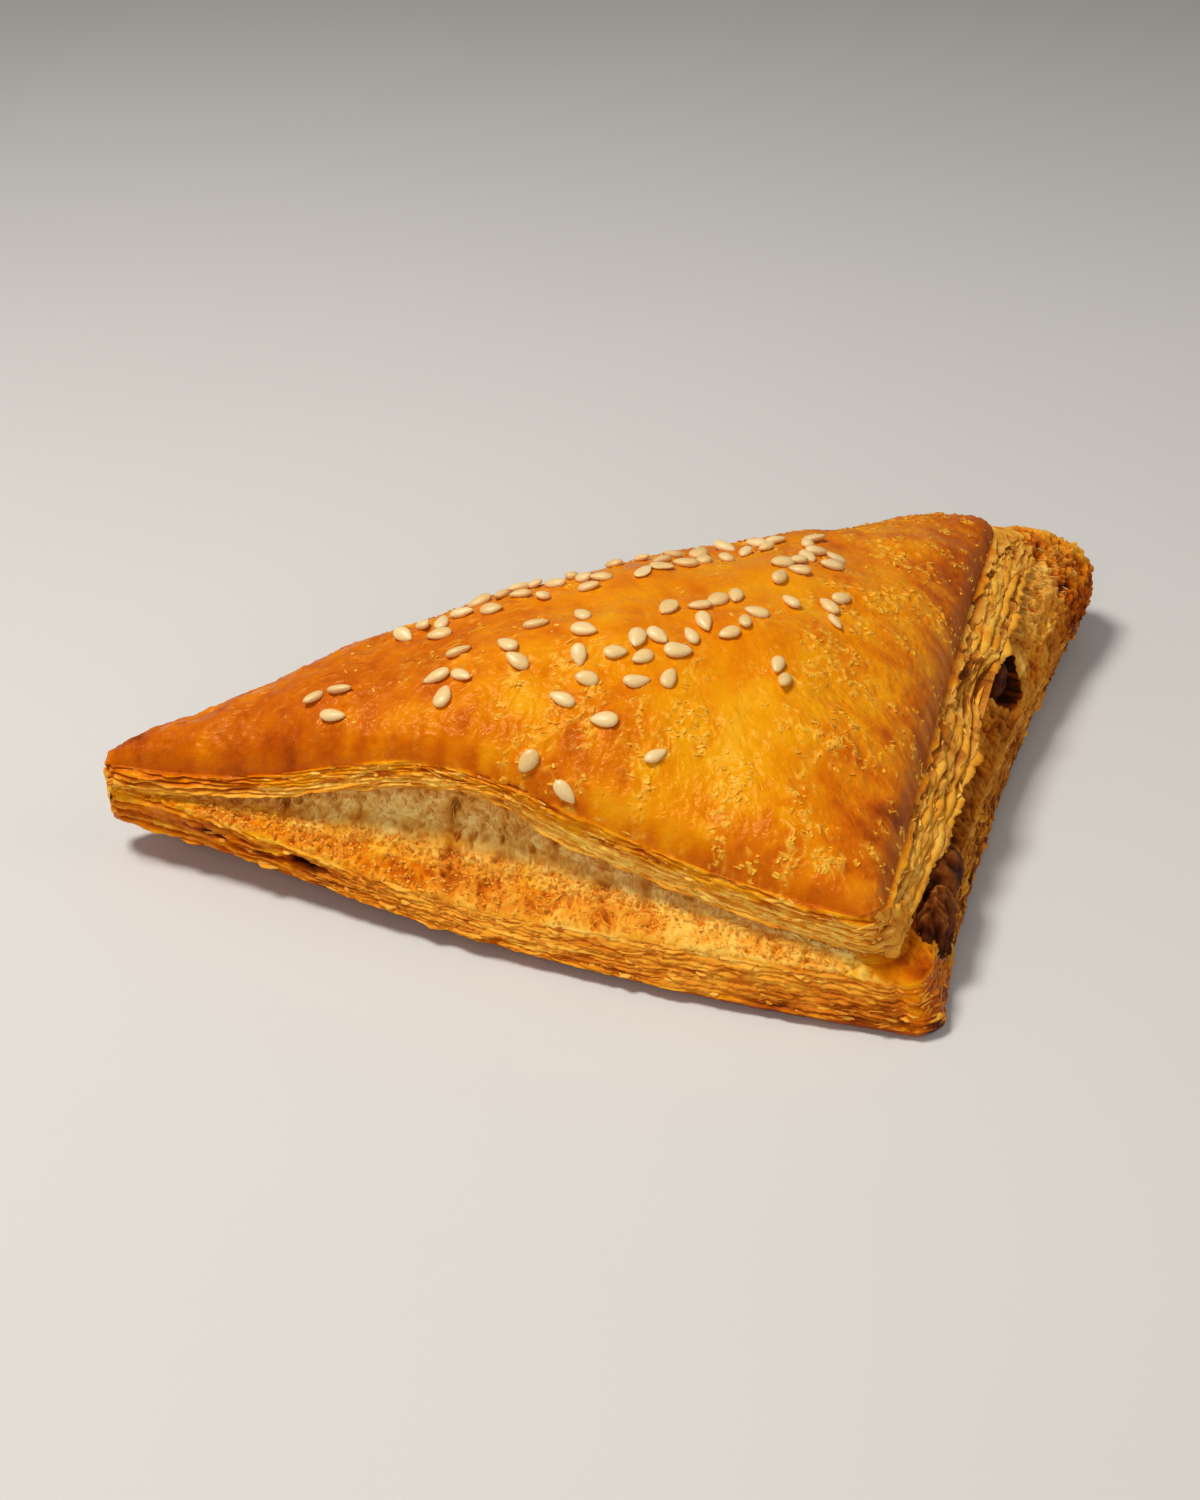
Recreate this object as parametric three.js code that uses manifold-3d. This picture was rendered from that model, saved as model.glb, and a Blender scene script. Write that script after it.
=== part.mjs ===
// Mushroom puff pastry: a square of puff dough folded corner to corner over a mushroom filling.
// Millimetres, +Z up. X runs along the fold, the folded side is at the back (+Y) and the
// right-angled corner of the triangle points to the front (-Y).
import * as THREE from 'three';
import { mergeVertices } from 'three/addons/utils/BufferGeometryUtils.js';
import Module from 'manifold-3d';

// Driving dimensions of the dough. A is the left end of the fold, B the right-angled corner
// at the front and C the right end of the fold. Each level is one closed line round the
// pastry, from the sole upwards. Its tips are the places that its rounded corners reach.
// bow swells a side outwards, and lift raises the middle of a side.
const LEVELS = {
  flat: {
    A: [-60, -12, 0], B: [-0.4, -73, 0], C: [60, -8.5, 0],
    round: [5, 5, 5], bow: [3, -2, 0], lift: [0, 0, 0],
  },
  sole: {
    A: [-78.4, -7.8, 4.2], B: [-0.1, -84.4, 0.2], C: [66.2, -6.8, 0.9],
    round: [2, 3, 5], bow: [3.2, -2, 1], lift: [-0.7, 0, 0],
  },
  foot: {
    A: [-79.8, -8, 5.2], B: [0.2, -85.4, 1.2], C: [68.6, -5.8, 2.4],
    round: [2, 3, 5], bow: [3.5, -2.2, 2.6], lift: [-0.9, 0, 0],
  },
  rim: {
    A: [-80.2, -9, 10.5], B: [-1, -82.2, 6.8], C: [73, -3.8, 7.4],
    round: [2, 5, 5], bow: [2, -2.6, 3.5], lift: [-2.8, 1, 0],
  },
  ledge: {
    A: [-79.8, -9, 10.8], B: [-2.8, -79.4, 8.2], C: [73.2, -3.2, 11],
    round: [2, 5, 5], bow: [-1, -2.9, 3.9], lift: [-1.5, 1.5, 0],
  },
  wall: {
    A: [-79.4, -9, 11.1], B: [-4, -77.6, 9.2], C: [70.8, -3, 14],
    round: [2, 4.5, 5], bow: [-4.4, -3.4, 3.8], lift: [2.2, 2.5, 0.4],
  },
  seal: {
    A: [-79, -9, 11.4], B: [-5.4, -76.4, 10], C: [64, -3.6, 17],
    round: [2, 4, 4], bow: [-6.2, -3, 3.4], lift: [7.1, 2, 0.6],
  },
  lipLow: {
    A: [-80.4, -9.6, 11.8], B: [-3.4, -79.6, 10.2], C: [62, -4, 18.2],
    round: [2, 4, 4], bow: [-3.2, 1.2, 2.9], lift: [7.6, 1.6, 1.2],
  },
  lipTop: {
    A: [-79.8, -9, 14], B: [-5, -78.6, 15], C: [53, -6.4, 21.8],
    round: [2, 3.5, 4], bow: [-3, -0.2, 2.1], lift: [8, 1.6, 0.2],
  },
};

// Points along each side and round the corner that ends it: front, B, right, C, fold, A.
const SIDE_STEPS = [34, 28, 20];
const CORNER_STEPS = [6, 6, 4];
const CORNER_SHARE = 0.03;

// The front lip arches over a shallow gap. Its highest place and its reach to both sides,
// as shares of the front side.
const ARCH_AT = 0.455;
const ARCH_LEFT = 0.2;
const ARCH_RIGHT = 0.25;

// The bottom sheet's bulge on the front and the hollow of the right side are both deepest
// a little nearer to B.
const BULGE_SKEW = 1.25;
const HOLLOW_SKEW = 0.7;
const SOLE_MIDDLE = new THREE.Vector3(0, -28, 0);

// The baked top: its highest point, and how quickly it rises from each side.
const CREST_HEIGHT = 33.6;
const CREST_AT = new THREE.Vector2(-10, -28);
const RISE = [0.6, 0.62, 0.57];
const SHOULDER = { height: 0.9, steepness: 20 };

// Low waves on the top: height, waves along and across, and how fast they set in at the lip.
const TOP_WAVES = { height: 0.45, first: [0.21, 0.13], second: [-0.08, 0.27], onset: 8 };

// Shallow dents where the top sank between its blisters: middle, reach and depth.
const TOP_DENTS = [
  { at: [-67.5, -9], reach: 3.4, depth: 1 },
  { at: [-58.5, -9.5], reach: 4, depth: 0.6 },
  { at: [12, -14], reach: 8, depth: 0.5 },
];

// Rings of the top, as shares of the way from the crest to the lip, with the share of the
// points that each keeps.
const TOP_RINGS = [
  [0.985, 1], [0.95, 1], [0.89, 1], [0.8, 1], [0.69, 1],
  [0.57, 0.5], [0.44, 0.5], [0.3, 0.25], [0.15, 0.125],
];

// Baked leaves of the dough that show where it was cut: how many there are in each sheet,
// where one leaf's edge starts and ends within its share of the sheet, how deep the notches
// between them are and how ragged the edges are.
const SHEET_LEAVES = 3;
const LIP_LEAVES = 2;
const LEAF_EDGE = [0.3, 0.72];
const LEAF_NOTCH = 0.55;
const RAGGED = 0.4;

// Upright creases in the wall of the gap.
const CREASE = 0.55;

// How quickly the cut edges fade out round the corners A and C towards the fold.
const FADE_AT_C = 10;
const FADE_AT_A = { from: 0.92, pace: 12 };

// The filling lies flat inside and ends well short of the sealed corners.
const FILLING = {
  A: [-60, -13.5, 12], B: [-3, -66, 10], C: [50, -13, 13],
  round: [6, 6, 6], bow: [-1.5, -2, 1], lift: [0, 0, 0],
};
const FILLING_FLOOR = 5.5;
const FILLING_TOP = 29.5;
const FILLING_LUMP = 0.5;
const FILLING_CLEARANCE = 0.35;

// The filling's rings, as shares of the way from its crest to its side: the flat of its
// floor, its turned-up edge with a share of the side's height, and its rounded upper half.
// Its side is a band that starts below the level of its corners and ends above it.
const FLOOR_RING = 0.6;
const FLOOR_EDGE = { ring: 0.93, rise: 0.15 };
const UPPER_RINGS = [0.93, 0.8, 0.62, 0.42, 0.2];
const SIDE_BAND = [-2, 1];
const RINGS_KEPT = 0.5;

// Mushroom pieces in the right-hand seam near B: middle, half sizes, turn about Z and lean.
// The first two carry the piece that shows, and the last one hangs out over the cut edge.
const SLICES = [
  { at: [3, -60, 10], half: [8, 6, 3.6], turn: 0.86, lean: 0 },
  { at: [9.5, -65.2, 8.8], half: [6.8, 5.2, 3.4], turn: 0.86, lean: 0.15 },
  { at: [7, -73.6, 6], half: [5.5, 1.8, 4.8], turn: 0.78, lean: -0.15 },
];

// A tear in the right-hand side through which a browned mushroom shows.
const TEAR = { at: [38.8, -33.9, 13], half: [4.3, 4.6, 3], turn: 0.77, lean: 0.2 };
const TEAR_MUSHROOM = { at: [35.8, -31.3, 13.2], half: [6, 4.9, 3.8], turn: 0.77, lean: 0.2 };

// Faces round and up a lump.
const LUMP_FACES = [10, 6];

// Small curled flakes that stand out at the cut corners.
const FLAKES = [
  { at: [-78.6, -10, 8.3], half: [1.7, 1.8, 1.7], turn: 0.3, lean: 0.2 },
  { at: [-79.4, -9, 11.8], half: [1.2, 1.5, 1.6], turn: 0, lean: 0 },
  { at: [0.2, -83.6, 1.5], half: [1.2, 0.9, 0.9], turn: 0.6, lean: 0 },
];

// Sesame seeds: one seed's size, and how the seeds are spread over the top. Each patch has
// its middle, its half sizes along and across the fold, its turn and its number of seeds.
const SEED_LENGTH = 3.4;
const SEED_WIDTH = 2.05;
const SEED_HEIGHT = 1.15;
const SEED_SUNK = 0.2;
const SEED_GAP = 2.6;
const SEED_TRIES = 40;
const DRAWS_PER_PATCH = 1000;

// Where a seed is widest: places along it and the share of its full width there.
const SEED_STATIONS = [[-0.24, 0.98], [0.22, 0.86]];
const SEED_SIDES = 5;
const SEED_PATCHES = [
  { at: [-12, -18], half: [32, 4.2], turn: 0, count: 34 },
  { at: [14, -24.5], half: [5.5, 3.5], turn: 0.5, count: 7 },
  { at: [7, -34], half: [9, 6], turn: 0, count: 6 },
  { at: [-6, -36], half: [7, 6], turn: 0.4, count: 8 },
  { at: [-17, -39.5], half: [4.5, 4.5], turn: 0, count: 9 },
  { at: [-27, -34], half: [8, 9], turn: 0, count: 8 },
  { at: [-29, -49], half: [9, 5], turn: -0.5, count: 4 },
  { at: [-4, -49], half: [4, 3], turn: 0.8, count: 2 },
  { at: [-39, -31], half: [5, 3.5], turn: 0.4, count: 4 },
  { at: [-54, -24], half: [3.5, 3.2], turn: 0, count: 3 },
];

// Colours and roughness, of the egg-washed crust and of the moist browned mushrooms.
const CRUST = { color: 0xc9822f, roughness: 0.5, metalness: 0 };
const COOKED_MUSHROOM = { color: 0x5a3420, roughness: 0.4, metalness: 0 };

// A number from 0 to 1 that is always the same for the same place in the order.
function draw(order) {
  const value = Math.sin(order * 12.9898) * 43758.5453;
  return value - Math.floor(value);
}

// A smooth unevenness between -1 and 1 that closes on itself round the pastry.
function ripple(along, seed) {
  const turn = along * 2 * Math.PI / 3;
  const slow = Math.sin(7 * turn + seed * 1.7);
  const middle = Math.sin(17 * turn + seed * 2.9);
  const quick = Math.sin(37 * turn + seed * 4.3);
  return (slow + middle + quick) / 3;
}

function smooth(share) {
  const held = Math.min(Math.max(share, 0), 1);
  return held * held * (3 - 2 * held);
}

// 1 along the two cut sides and 0 along the fold.
function cutShare(along) {
  const side = (along + 3) % 3;
  if (side < 2) return 1;
  const share = side - 2;
  return Math.max(smooth(1 - share * FADE_AT_C), smooth((share - FADE_AT_A.from) * FADE_AT_A.pace));
}

function unit(from, to) {
  return new THREE.Vector2().subVectors(to, from).normalize();
}

// The circle in each corner whose far side reaches the corner's tip.
function cornerCircles(tips, radii) {
  const corners = tips.map((tip, i) => {
    const back = unit(tip, tips[(i + 2) % 3]);
    const on = unit(tip, tips[(i + 1) % 3]);
    const half = Math.acos(back.dot(on)) / 2;
    const inward = back.add(on).normalize();
    return tip.clone().addScaledVector(inward, -radii[i] * (1 / Math.sin(half) - 1));
  });
  return corners.map((corner, i) => {
    const back = unit(corner, corners[(i + 2) % 3]);
    const on = unit(corner, corners[(i + 1) % 3]);
    const half = Math.acos(back.dot(on)) / 2;
    const inward = back.clone().add(on).normalize();
    return {
      corner,
      middle: corner.clone().addScaledVector(inward, radii[i] / Math.sin(half)),
      start: corner.clone().addScaledVector(back, radii[i] / Math.tan(half)),
      end: corner.clone().addScaledVector(on, radii[i] / Math.tan(half)),
    };
  });
}

// One level's height at a place round the pastry: 0 to 1 front, 1 to 2 right, 2 to 3 fold.
function levelHeight(level, along) {
  const side = Math.floor(along) % 3;
  const share = along - Math.floor(along);
  const heights = [level.A[2], level.B[2], level.C[2]];
  const blend = smooth(share);
  const plain = heights[side] * (1 - blend) + heights[(side + 1) % 3] * blend;
  if (side > 0) return plain + level.lift[side] * Math.sin(Math.PI * share);
  const reach = share < ARCH_AT ? ARCH_LEFT : ARCH_RIGHT;
  return plain + level.lift[0] * Math.exp(-(((share - ARCH_AT) / reach) ** 2));
}

// Above 1 a side's bow is deepest in its second half, below 1 in its first half.
function bowSkew(side, bow) {
  if (side === 0 && bow > 0) return BULGE_SKEW;
  return side === 1 ? HOLLOW_SKEW : 1;
}

// A level's outline as points with their place round the pastry.
function outline(level) {
  const tips = [level.A, level.B, level.C].map((tip) => new THREE.Vector2(tip[0], tip[1]));
  const circles = cornerCircles(tips, level.round);
  const points = [];
  for (let side = 0; side < 3; side += 1) {
    const next = circles[(side + 1) % 3];
    const from = circles[side].end;
    const outward = unit(from, next.start);
    outward.set(outward.y, -outward.x);
    const skew = bowSkew(side, level.bow[side]);
    for (let i = 0; i < SIDE_STEPS[side]; i += 1) {
      const share = i / SIDE_STEPS[side];
      const swell = level.bow[side] * Math.sin(Math.PI * share ** skew);
      const place = from.clone().lerp(next.start, share).addScaledVector(outward, swell);
      points.push({ place, along: side + CORNER_SHARE + (1 - 2 * CORNER_SHARE) * share });
    }
    const first = unit(next.middle, next.start).angle();
    const last = unit(next.middle, next.end).angle();
    const sweep = (last - first + 2 * Math.PI) % (2 * Math.PI);
    const radius = level.round[(side + 1) % 3];
    for (let i = 0; i < CORNER_STEPS[side]; i += 1) {
      const share = i / CORNER_STEPS[side];
      const angle = first + sweep * share;
      const arm = new THREE.Vector2(Math.cos(angle), Math.sin(angle)).multiplyScalar(radius);
      const along = (side + 1 - CORNER_SHARE + 2 * CORNER_SHARE * share) % 3;
      points.push({ place: next.middle.clone().add(arm), along });
    }
  }
  return points;
}

// A ring of points in space for one level, with the outward direction at each point.
function ring(level) {
  const flat = outline(level);
  return flat.map(({ place, along }, i) => {
    const before = flat[(i + flat.length - 1) % flat.length].place;
    const after = flat[(i + 1) % flat.length].place;
    const run = unit(before, after);
    const point = new THREE.Vector3(place.x, place.y, levelHeight(level, along));
    return { point, along, out: new THREE.Vector3(run.y, -run.x, 0) };
  });
}

// Pushes a ring outwards by an amount that may differ from place to place.
function pushed(points, amount) {
  return points.map(({ point, along, out }) => {
    const moved = point.clone().addScaledVector(out, amount(along));
    return { point: moved, along, out };
  });
}

function between(lower, upper, share) {
  return lower.map(({ point, along, out }, i) => {
    return { point: point.clone().lerp(upper[i].point, share), along, out };
  });
}

// The cut edge of a sheet from its lower to its upper ring: leaves with notches between.
function leaves(lower, upper, count, seed) {
  const rings = [];
  for (let leaf = 0; leaf < count; leaf += 1) {
    const low = between(lower, upper, (leaf + LEAF_EDGE[0]) / count);
    const high = between(lower, upper, (leaf + LEAF_EDGE[1]) / count);
    const edge = (along) => RAGGED * ripple(along, seed + leaf) * cutShare(along);
    rings.push(pushed(low, edge), pushed(high, edge));
    if (leaf < count - 1) {
      const notch = between(lower, upper, (leaf + 1) / count);
      rings.push(pushed(notch, (along) => -LEAF_NOTCH * cutShare(along)));
    }
  }
  return rings;
}

// How far inside one bowed side of a level a place lies.
function inset(place, corners, side, bow) {
  const from = corners[side];
  const to = corners[(side + 1) % 3];
  const run = unit(from, to);
  const offset = place.clone().sub(from);
  const share = Math.min(Math.max(offset.dot(run) / from.distanceTo(to), 0), 1);
  const swell = bow * Math.sin(Math.PI * share ** bowSkew(side, bow));
  return Math.max(run.cross(offset) + swell, 0);
}

// Tells how far a place on a three-cornered cushion has risen to its crest, from 0 to 1.
function riseOver(level) {
  const tips = [level.A, level.B, level.C].map((tip) => new THREE.Vector2(tip[0], tip[1]));
  const corners = cornerCircles(tips, level.round).map(({ corner }) => corner);
  return (place) => {
    let share = 1;
    for (let side = 0; side < 3; side += 1) {
      const near = inset(place, corners, side, level.bow[side]);
      share *= (near / inset(CREST_AT, corners, side, level.bow[side])) ** RISE[side];
    }
    return Math.min(share, 1);
  };
}

function thinned(points, share) {
  const step = Math.round(1 / share);
  return points.filter((_, i) => i % step === 0);
}

function topWaves(place) {
  const [first, second] = [TOP_WAVES.first, TOP_WAVES.second];
  const one = Math.sin(place.x * first[0] + place.y * first[1]);
  return TOP_WAVES.height * one * Math.sin(place.x * second[0] + place.y * second[1]);
}

function topDents(place) {
  return TOP_DENTS.reduce((sum, { at, reach, depth }) => {
    const away = Math.hypot(place.x - at[0], place.y - at[1]) / reach;
    return sum - depth * Math.exp(-(away ** 2));
  }, 0);
}

// The rings of the domed top, from the lip inwards.
function topRings(lip) {
  const rise = riseOver(LEVELS.lipTop);
  return TOP_RINGS.map(([scale, kept]) => thinned(lip, kept).map(({ point, along }) => {
    const place = new THREE.Vector2(point.x, point.y).sub(CREST_AT);
    place.multiplyScalar(scale).add(CREST_AT);
    const share = rise(place);
    const shoulder = SHOULDER.height * smooth((1 - scale) * SHOULDER.steepness);
    const edge = point.z + shoulder * (1 - share);
    const waves = (topWaves(place) + topDents(place)) * smooth((1 - scale) * TOP_WAVES.onset);
    const height = edge * (1 - share) + CREST_HEIGHT * share + waves;
    return { point: new THREE.Vector3(place.x, place.y, height), along };
  }));
}

// Joins closed rings of any number of points into one closed skin, ended by two points.
function skin(rings, first, last) {
  const positions = [first.toArray()];
  const starts = rings.map((points) => {
    const start = positions.length;
    points.forEach(({ point }) => positions.push(point.toArray()));
    return start;
  });
  positions.push(last.toArray());
  const end = positions.length - 1;
  const faces = [];
  const low = rings[0];
  low.forEach((_, i) => faces.push([0, starts[0] + (i + 1) % low.length, starts[0] + i]));
  for (let level = 1; level < rings.length; level += 1) {
    const counts = [rings[level - 1].length, rings[level].length];
    let [i, j] = [0, 0];
    while (i < counts[0] || j < counts[1]) {
      const under = starts[level - 1] + i % counts[0];
      const over = starts[level] + j % counts[1];
      if (j >= counts[1] || (i < counts[0] && i / counts[0] <= j / counts[1])) {
        i += 1;
        faces.push([under, starts[level - 1] + i % counts[0], over]);
      } else {
        j += 1;
        faces.push([under, starts[level] + j % counts[1], over]);
      }
    }
  }
  const top = rings.length - 1;
  rings[top].forEach((_, i) => {
    faces.push([end, starts[top] + i, starts[top] + (i + 1) % rings[top].length]);
  });
  const geometry = new THREE.BufferGeometry();
  geometry.setAttribute('position', new THREE.Float32BufferAttribute(positions.flat(), 3));
  geometry.setIndex(faces.flat());
  return geometry;
}

// The folded dough without its filling: sole, cut sheets, gap, lip and baked top.
function doughSkin() {
  const levels = Object.fromEntries(
    Object.entries(LEVELS).map(([name, level]) => [name, ring(level)]),
  );
  const creased = (seed) => (along) => -CREASE * (0.5 + 0.5 * ripple(along, seed)) * cutShare(along);
  const rings = [
    levels.flat,
    levels.sole,
    ...leaves(levels.foot, levels.rim, SHEET_LEAVES, 1),
    levels.rim,
    levels.ledge,
    pushed(levels.wall, creased(7)),
    pushed(levels.seal, creased(8)),
    ...leaves(levels.lipLow, levels.lipTop, LIP_LEAVES, 11),
    ...topRings(levels.lipTop),
  ];
  const crest = new THREE.Vector3(CREST_AT.x, CREST_AT.y, CREST_HEIGHT);
  return skin(rings, SOLE_MIDDLE, crest);
}

// The filling's cushion, grown on all sides by a clearance where it is to cut its own room.
function fillingSkin(clearance) {
  const middle = pushed(ring(FILLING), (along) => {
    return clearance + FILLING_LUMP * ripple(along, 3);
  });
  const rise = riseOver(FILLING);
  const scaled = (scale, height) => thinned(middle, RINGS_KEPT).map(({ point, along }) => {
    const place = new THREE.Vector2(point.x, point.y).sub(CREST_AT);
    place.multiplyScalar(scale).add(CREST_AT);
    return { point: new THREE.Vector3(place.x, place.y, height(place, point.z)), along };
  });
  const floor = FILLING_FLOOR - clearance;
  const roof = FILLING_TOP + clearance;
  const above = (place, edge) => {
    const share = rise(place);
    return (edge + SIDE_BAND[1] + clearance) * (1 - share) + roof * share;
  };
  const rings = [
    scaled(FLOOR_RING, () => floor),
    scaled(FLOOR_EDGE.ring, (place, edge) => floor + FLOOR_EDGE.rise * (edge - floor)),
    scaled(1, (place, edge) => edge + SIDE_BAND[0]),
    scaled(1, (place, edge) => edge + SIDE_BAND[1] + clearance),
    ...UPPER_RINGS.map((scale) => scaled(scale, above)),
  ];
  const bottom = new THREE.Vector3(CREST_AT.x, CREST_AT.y, floor);
  const crest = new THREE.Vector3(CREST_AT.x, CREST_AT.y, roof);
  return skin(rings, bottom, crest);
}

// A rounded lump: an ellipsoid of few faces, turned about Z and then leant about its length.
function lump({ at, half, turn, lean }, grown) {
  const geometry = new THREE.SphereGeometry(1, ...LUMP_FACES);
  geometry.scale(half[0] + grown, half[1] + grown, half[2] + grown);
  geometry.rotateX(lean);
  geometry.rotateZ(turn);
  geometry.translate(...at);
  return geometry;
}

// One sesame seed: a flat drop, pointed at one end, lying along X.
function seedGeometry() {
  const rings = SEED_STATIONS.map(([share, full]) => {
    const points = [];
    for (let side = 0; side < SEED_SIDES; side += 1) {
      const angle = (side + 1 / 4) * 2 * Math.PI / SEED_SIDES;
      const y = Math.cos(angle) * full * SEED_WIDTH / 2;
      const z = Math.sin(angle) * full * SEED_HEIGHT / 2;
      points.push({ point: new THREE.Vector3(share * SEED_LENGTH, y, z) });
    }
    return points;
  });
  const tail = new THREE.Vector3(-SEED_LENGTH / 2, 0, 0);
  const tip = new THREE.Vector3(SEED_LENGTH / 2, 0, 0);
  return skin(rings, tail, tip);
}

// Places on the top for all seeds, kept apart from each other.
function seedPlaces() {
  const places = [];
  SEED_PATCHES.forEach((patch, index) => {
    let order = index * DRAWS_PER_PATCH + 1;
    let left = patch.count;
    for (let tries = 0; left > 0 && tries < patch.count * SEED_TRIES; tries += 1) {
      const angle = draw(order) * 2 * Math.PI;
      const reach = Math.sqrt(draw(order + 1));
      const place = new THREE.Vector2(
        Math.cos(angle) * reach * patch.half[0],
        Math.sin(angle) * reach * patch.half[1],
      );
      place.rotateAround(new THREE.Vector2(), patch.turn);
      place.add(new THREE.Vector2(...patch.at));
      const heading = draw(order + 2) * 2 * Math.PI;
      order += 3;
      if (places.every((other) => other.place.distanceTo(place) > SEED_GAP)) {
        places.push({ place, heading });
        left -= 1;
      }
    }
  });
  return places;
}

// The seeds, each lying flat on the crust below it.
function seedGeometries(crust) {
  const ray = new THREE.Raycaster();
  const up = new THREE.Vector3(0, 0, 1);
  const target = new THREE.Mesh(crust);
  return seedPlaces().map(({ place, heading }) => {
    ray.set(new THREE.Vector3(place.x, place.y, 2 * CREST_HEIGHT), up.clone().negate());
    const hit = ray.intersectObject(target)[0];
    const tilt = new THREE.Quaternion().setFromUnitVectors(up, hit.face.normal);
    const spin = new THREE.Quaternion().setFromAxisAngle(up, heading);
    const lifted = SEED_HEIGHT / 2 - SEED_SUNK;
    const at = hit.point.clone().addScaledVector(hit.face.normal, lifted);
    const seed = seedGeometry();
    seed.applyQuaternion(tilt.multiply(spin));
    seed.translate(at.x, at.y, at.z);
    return seed;
  });
}

const WELD = 1e-5;
const wasm = await Module();
wasm.setup();

function solid(geometry) {
  const bare = geometry.clone();
  bare.deleteAttribute('normal');
  bare.deleteAttribute('uv');
  const welded = mergeVertices(bare, WELD);
  return new wasm.Manifold(new wasm.Mesh({
    numProp: 3,
    vertProperties: new Float32Array(welded.attributes.position.array),
    triVerts: new Uint32Array(welded.index.array),
  }));
}

function geometryOf(body) {
  const mesh = body.getMesh();
  const geometry = new THREE.BufferGeometry();
  geometry.setAttribute('position', new THREE.Float32BufferAttribute(mesh.vertProperties, 3));
  geometry.setIndex(new THREE.Uint32BufferAttribute(mesh.triVerts, 1));
  geometry.computeVertexNormals();
  return geometry;
}

function fillingBody(clearance) {
  let body = solid(fillingSkin(clearance));
  [...SLICES, TEAR_MUSHROOM].forEach((piece) => {
    body = body.add(solid(lump(piece, clearance)));
  });
  return body;
}

function pastryBody() {
  const crust = doughSkin();
  let body = solid(crust);
  FLAKES.forEach((flake) => {
    body = body.add(solid(lump(flake, 0)));
  });
  body = body.subtract(solid(lump(TEAR, 0)));
  body = body.subtract(fillingBody(FILLING_CLEARANCE));
  seedGeometries(crust).forEach((seed) => {
    body = body.add(solid(seed));
  });
  return body;
}

function node(name, body, finish) {
  const mesh = new THREE.Mesh(geometryOf(body), new THREE.MeshStandardMaterial(finish));
  mesh.name = name;
  return mesh;
}

const pastry = new THREE.Group();
pastry.add(node('pastry', pastryBody(), CRUST));
pastry.add(node('mushroom_filling', fillingBody(0), COOKED_MUSHROOM));

// The origin is under the middle of the whole, on the surface that it rests on.
const box = new THREE.Box3().setFromObject(pastry);
const middle = box.getCenter(new THREE.Vector3());
pastry.children.forEach((mesh) => {
  mesh.geometry.translate(-middle.x, -middle.y, -box.min.z);
});

export default pastry;
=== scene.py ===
"""Mushroom puff pastry, dressed for rendering: baked crust, cut leaves, gap, filling and seeds.

Lengths in the tables are millimetres in the drawing's own coordinates: X along the fold, the
right-angled corner B at -Y, Z up. to_scene() turns them into the frame's metres.
"""

import itertools
import math

import bpy
import numpy as np
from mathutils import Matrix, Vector
from mathutils.bvhtree import BVHTree


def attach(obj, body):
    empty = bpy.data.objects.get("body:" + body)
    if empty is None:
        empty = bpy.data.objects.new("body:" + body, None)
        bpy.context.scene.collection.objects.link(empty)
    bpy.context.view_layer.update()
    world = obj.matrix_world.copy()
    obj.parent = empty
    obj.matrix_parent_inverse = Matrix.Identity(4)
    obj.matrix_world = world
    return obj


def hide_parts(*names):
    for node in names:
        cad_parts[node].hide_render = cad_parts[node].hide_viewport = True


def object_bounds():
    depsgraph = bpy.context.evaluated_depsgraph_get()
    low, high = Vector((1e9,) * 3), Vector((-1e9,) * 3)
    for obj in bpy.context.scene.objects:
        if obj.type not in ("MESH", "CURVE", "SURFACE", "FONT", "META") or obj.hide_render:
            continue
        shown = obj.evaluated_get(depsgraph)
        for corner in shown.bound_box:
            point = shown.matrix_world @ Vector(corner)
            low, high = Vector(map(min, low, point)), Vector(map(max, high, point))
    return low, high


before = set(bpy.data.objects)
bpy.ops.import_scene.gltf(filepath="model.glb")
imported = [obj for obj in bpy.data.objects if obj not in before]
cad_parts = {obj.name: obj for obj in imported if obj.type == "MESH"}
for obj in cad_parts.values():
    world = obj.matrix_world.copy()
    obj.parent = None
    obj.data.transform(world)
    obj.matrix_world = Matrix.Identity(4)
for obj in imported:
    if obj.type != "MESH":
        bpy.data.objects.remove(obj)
cad_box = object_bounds()

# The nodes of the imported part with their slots.
DOUGH = ("pastry", "baked_dough")
FILLING = ("mushroom_filling", "cooked_mushroom")

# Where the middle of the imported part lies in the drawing's coordinates.
MIDDLE = np.array([-3.7188, -42.2538, 0.0])
MM = 0.001
UP = np.array([0, 0, 1])

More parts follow.
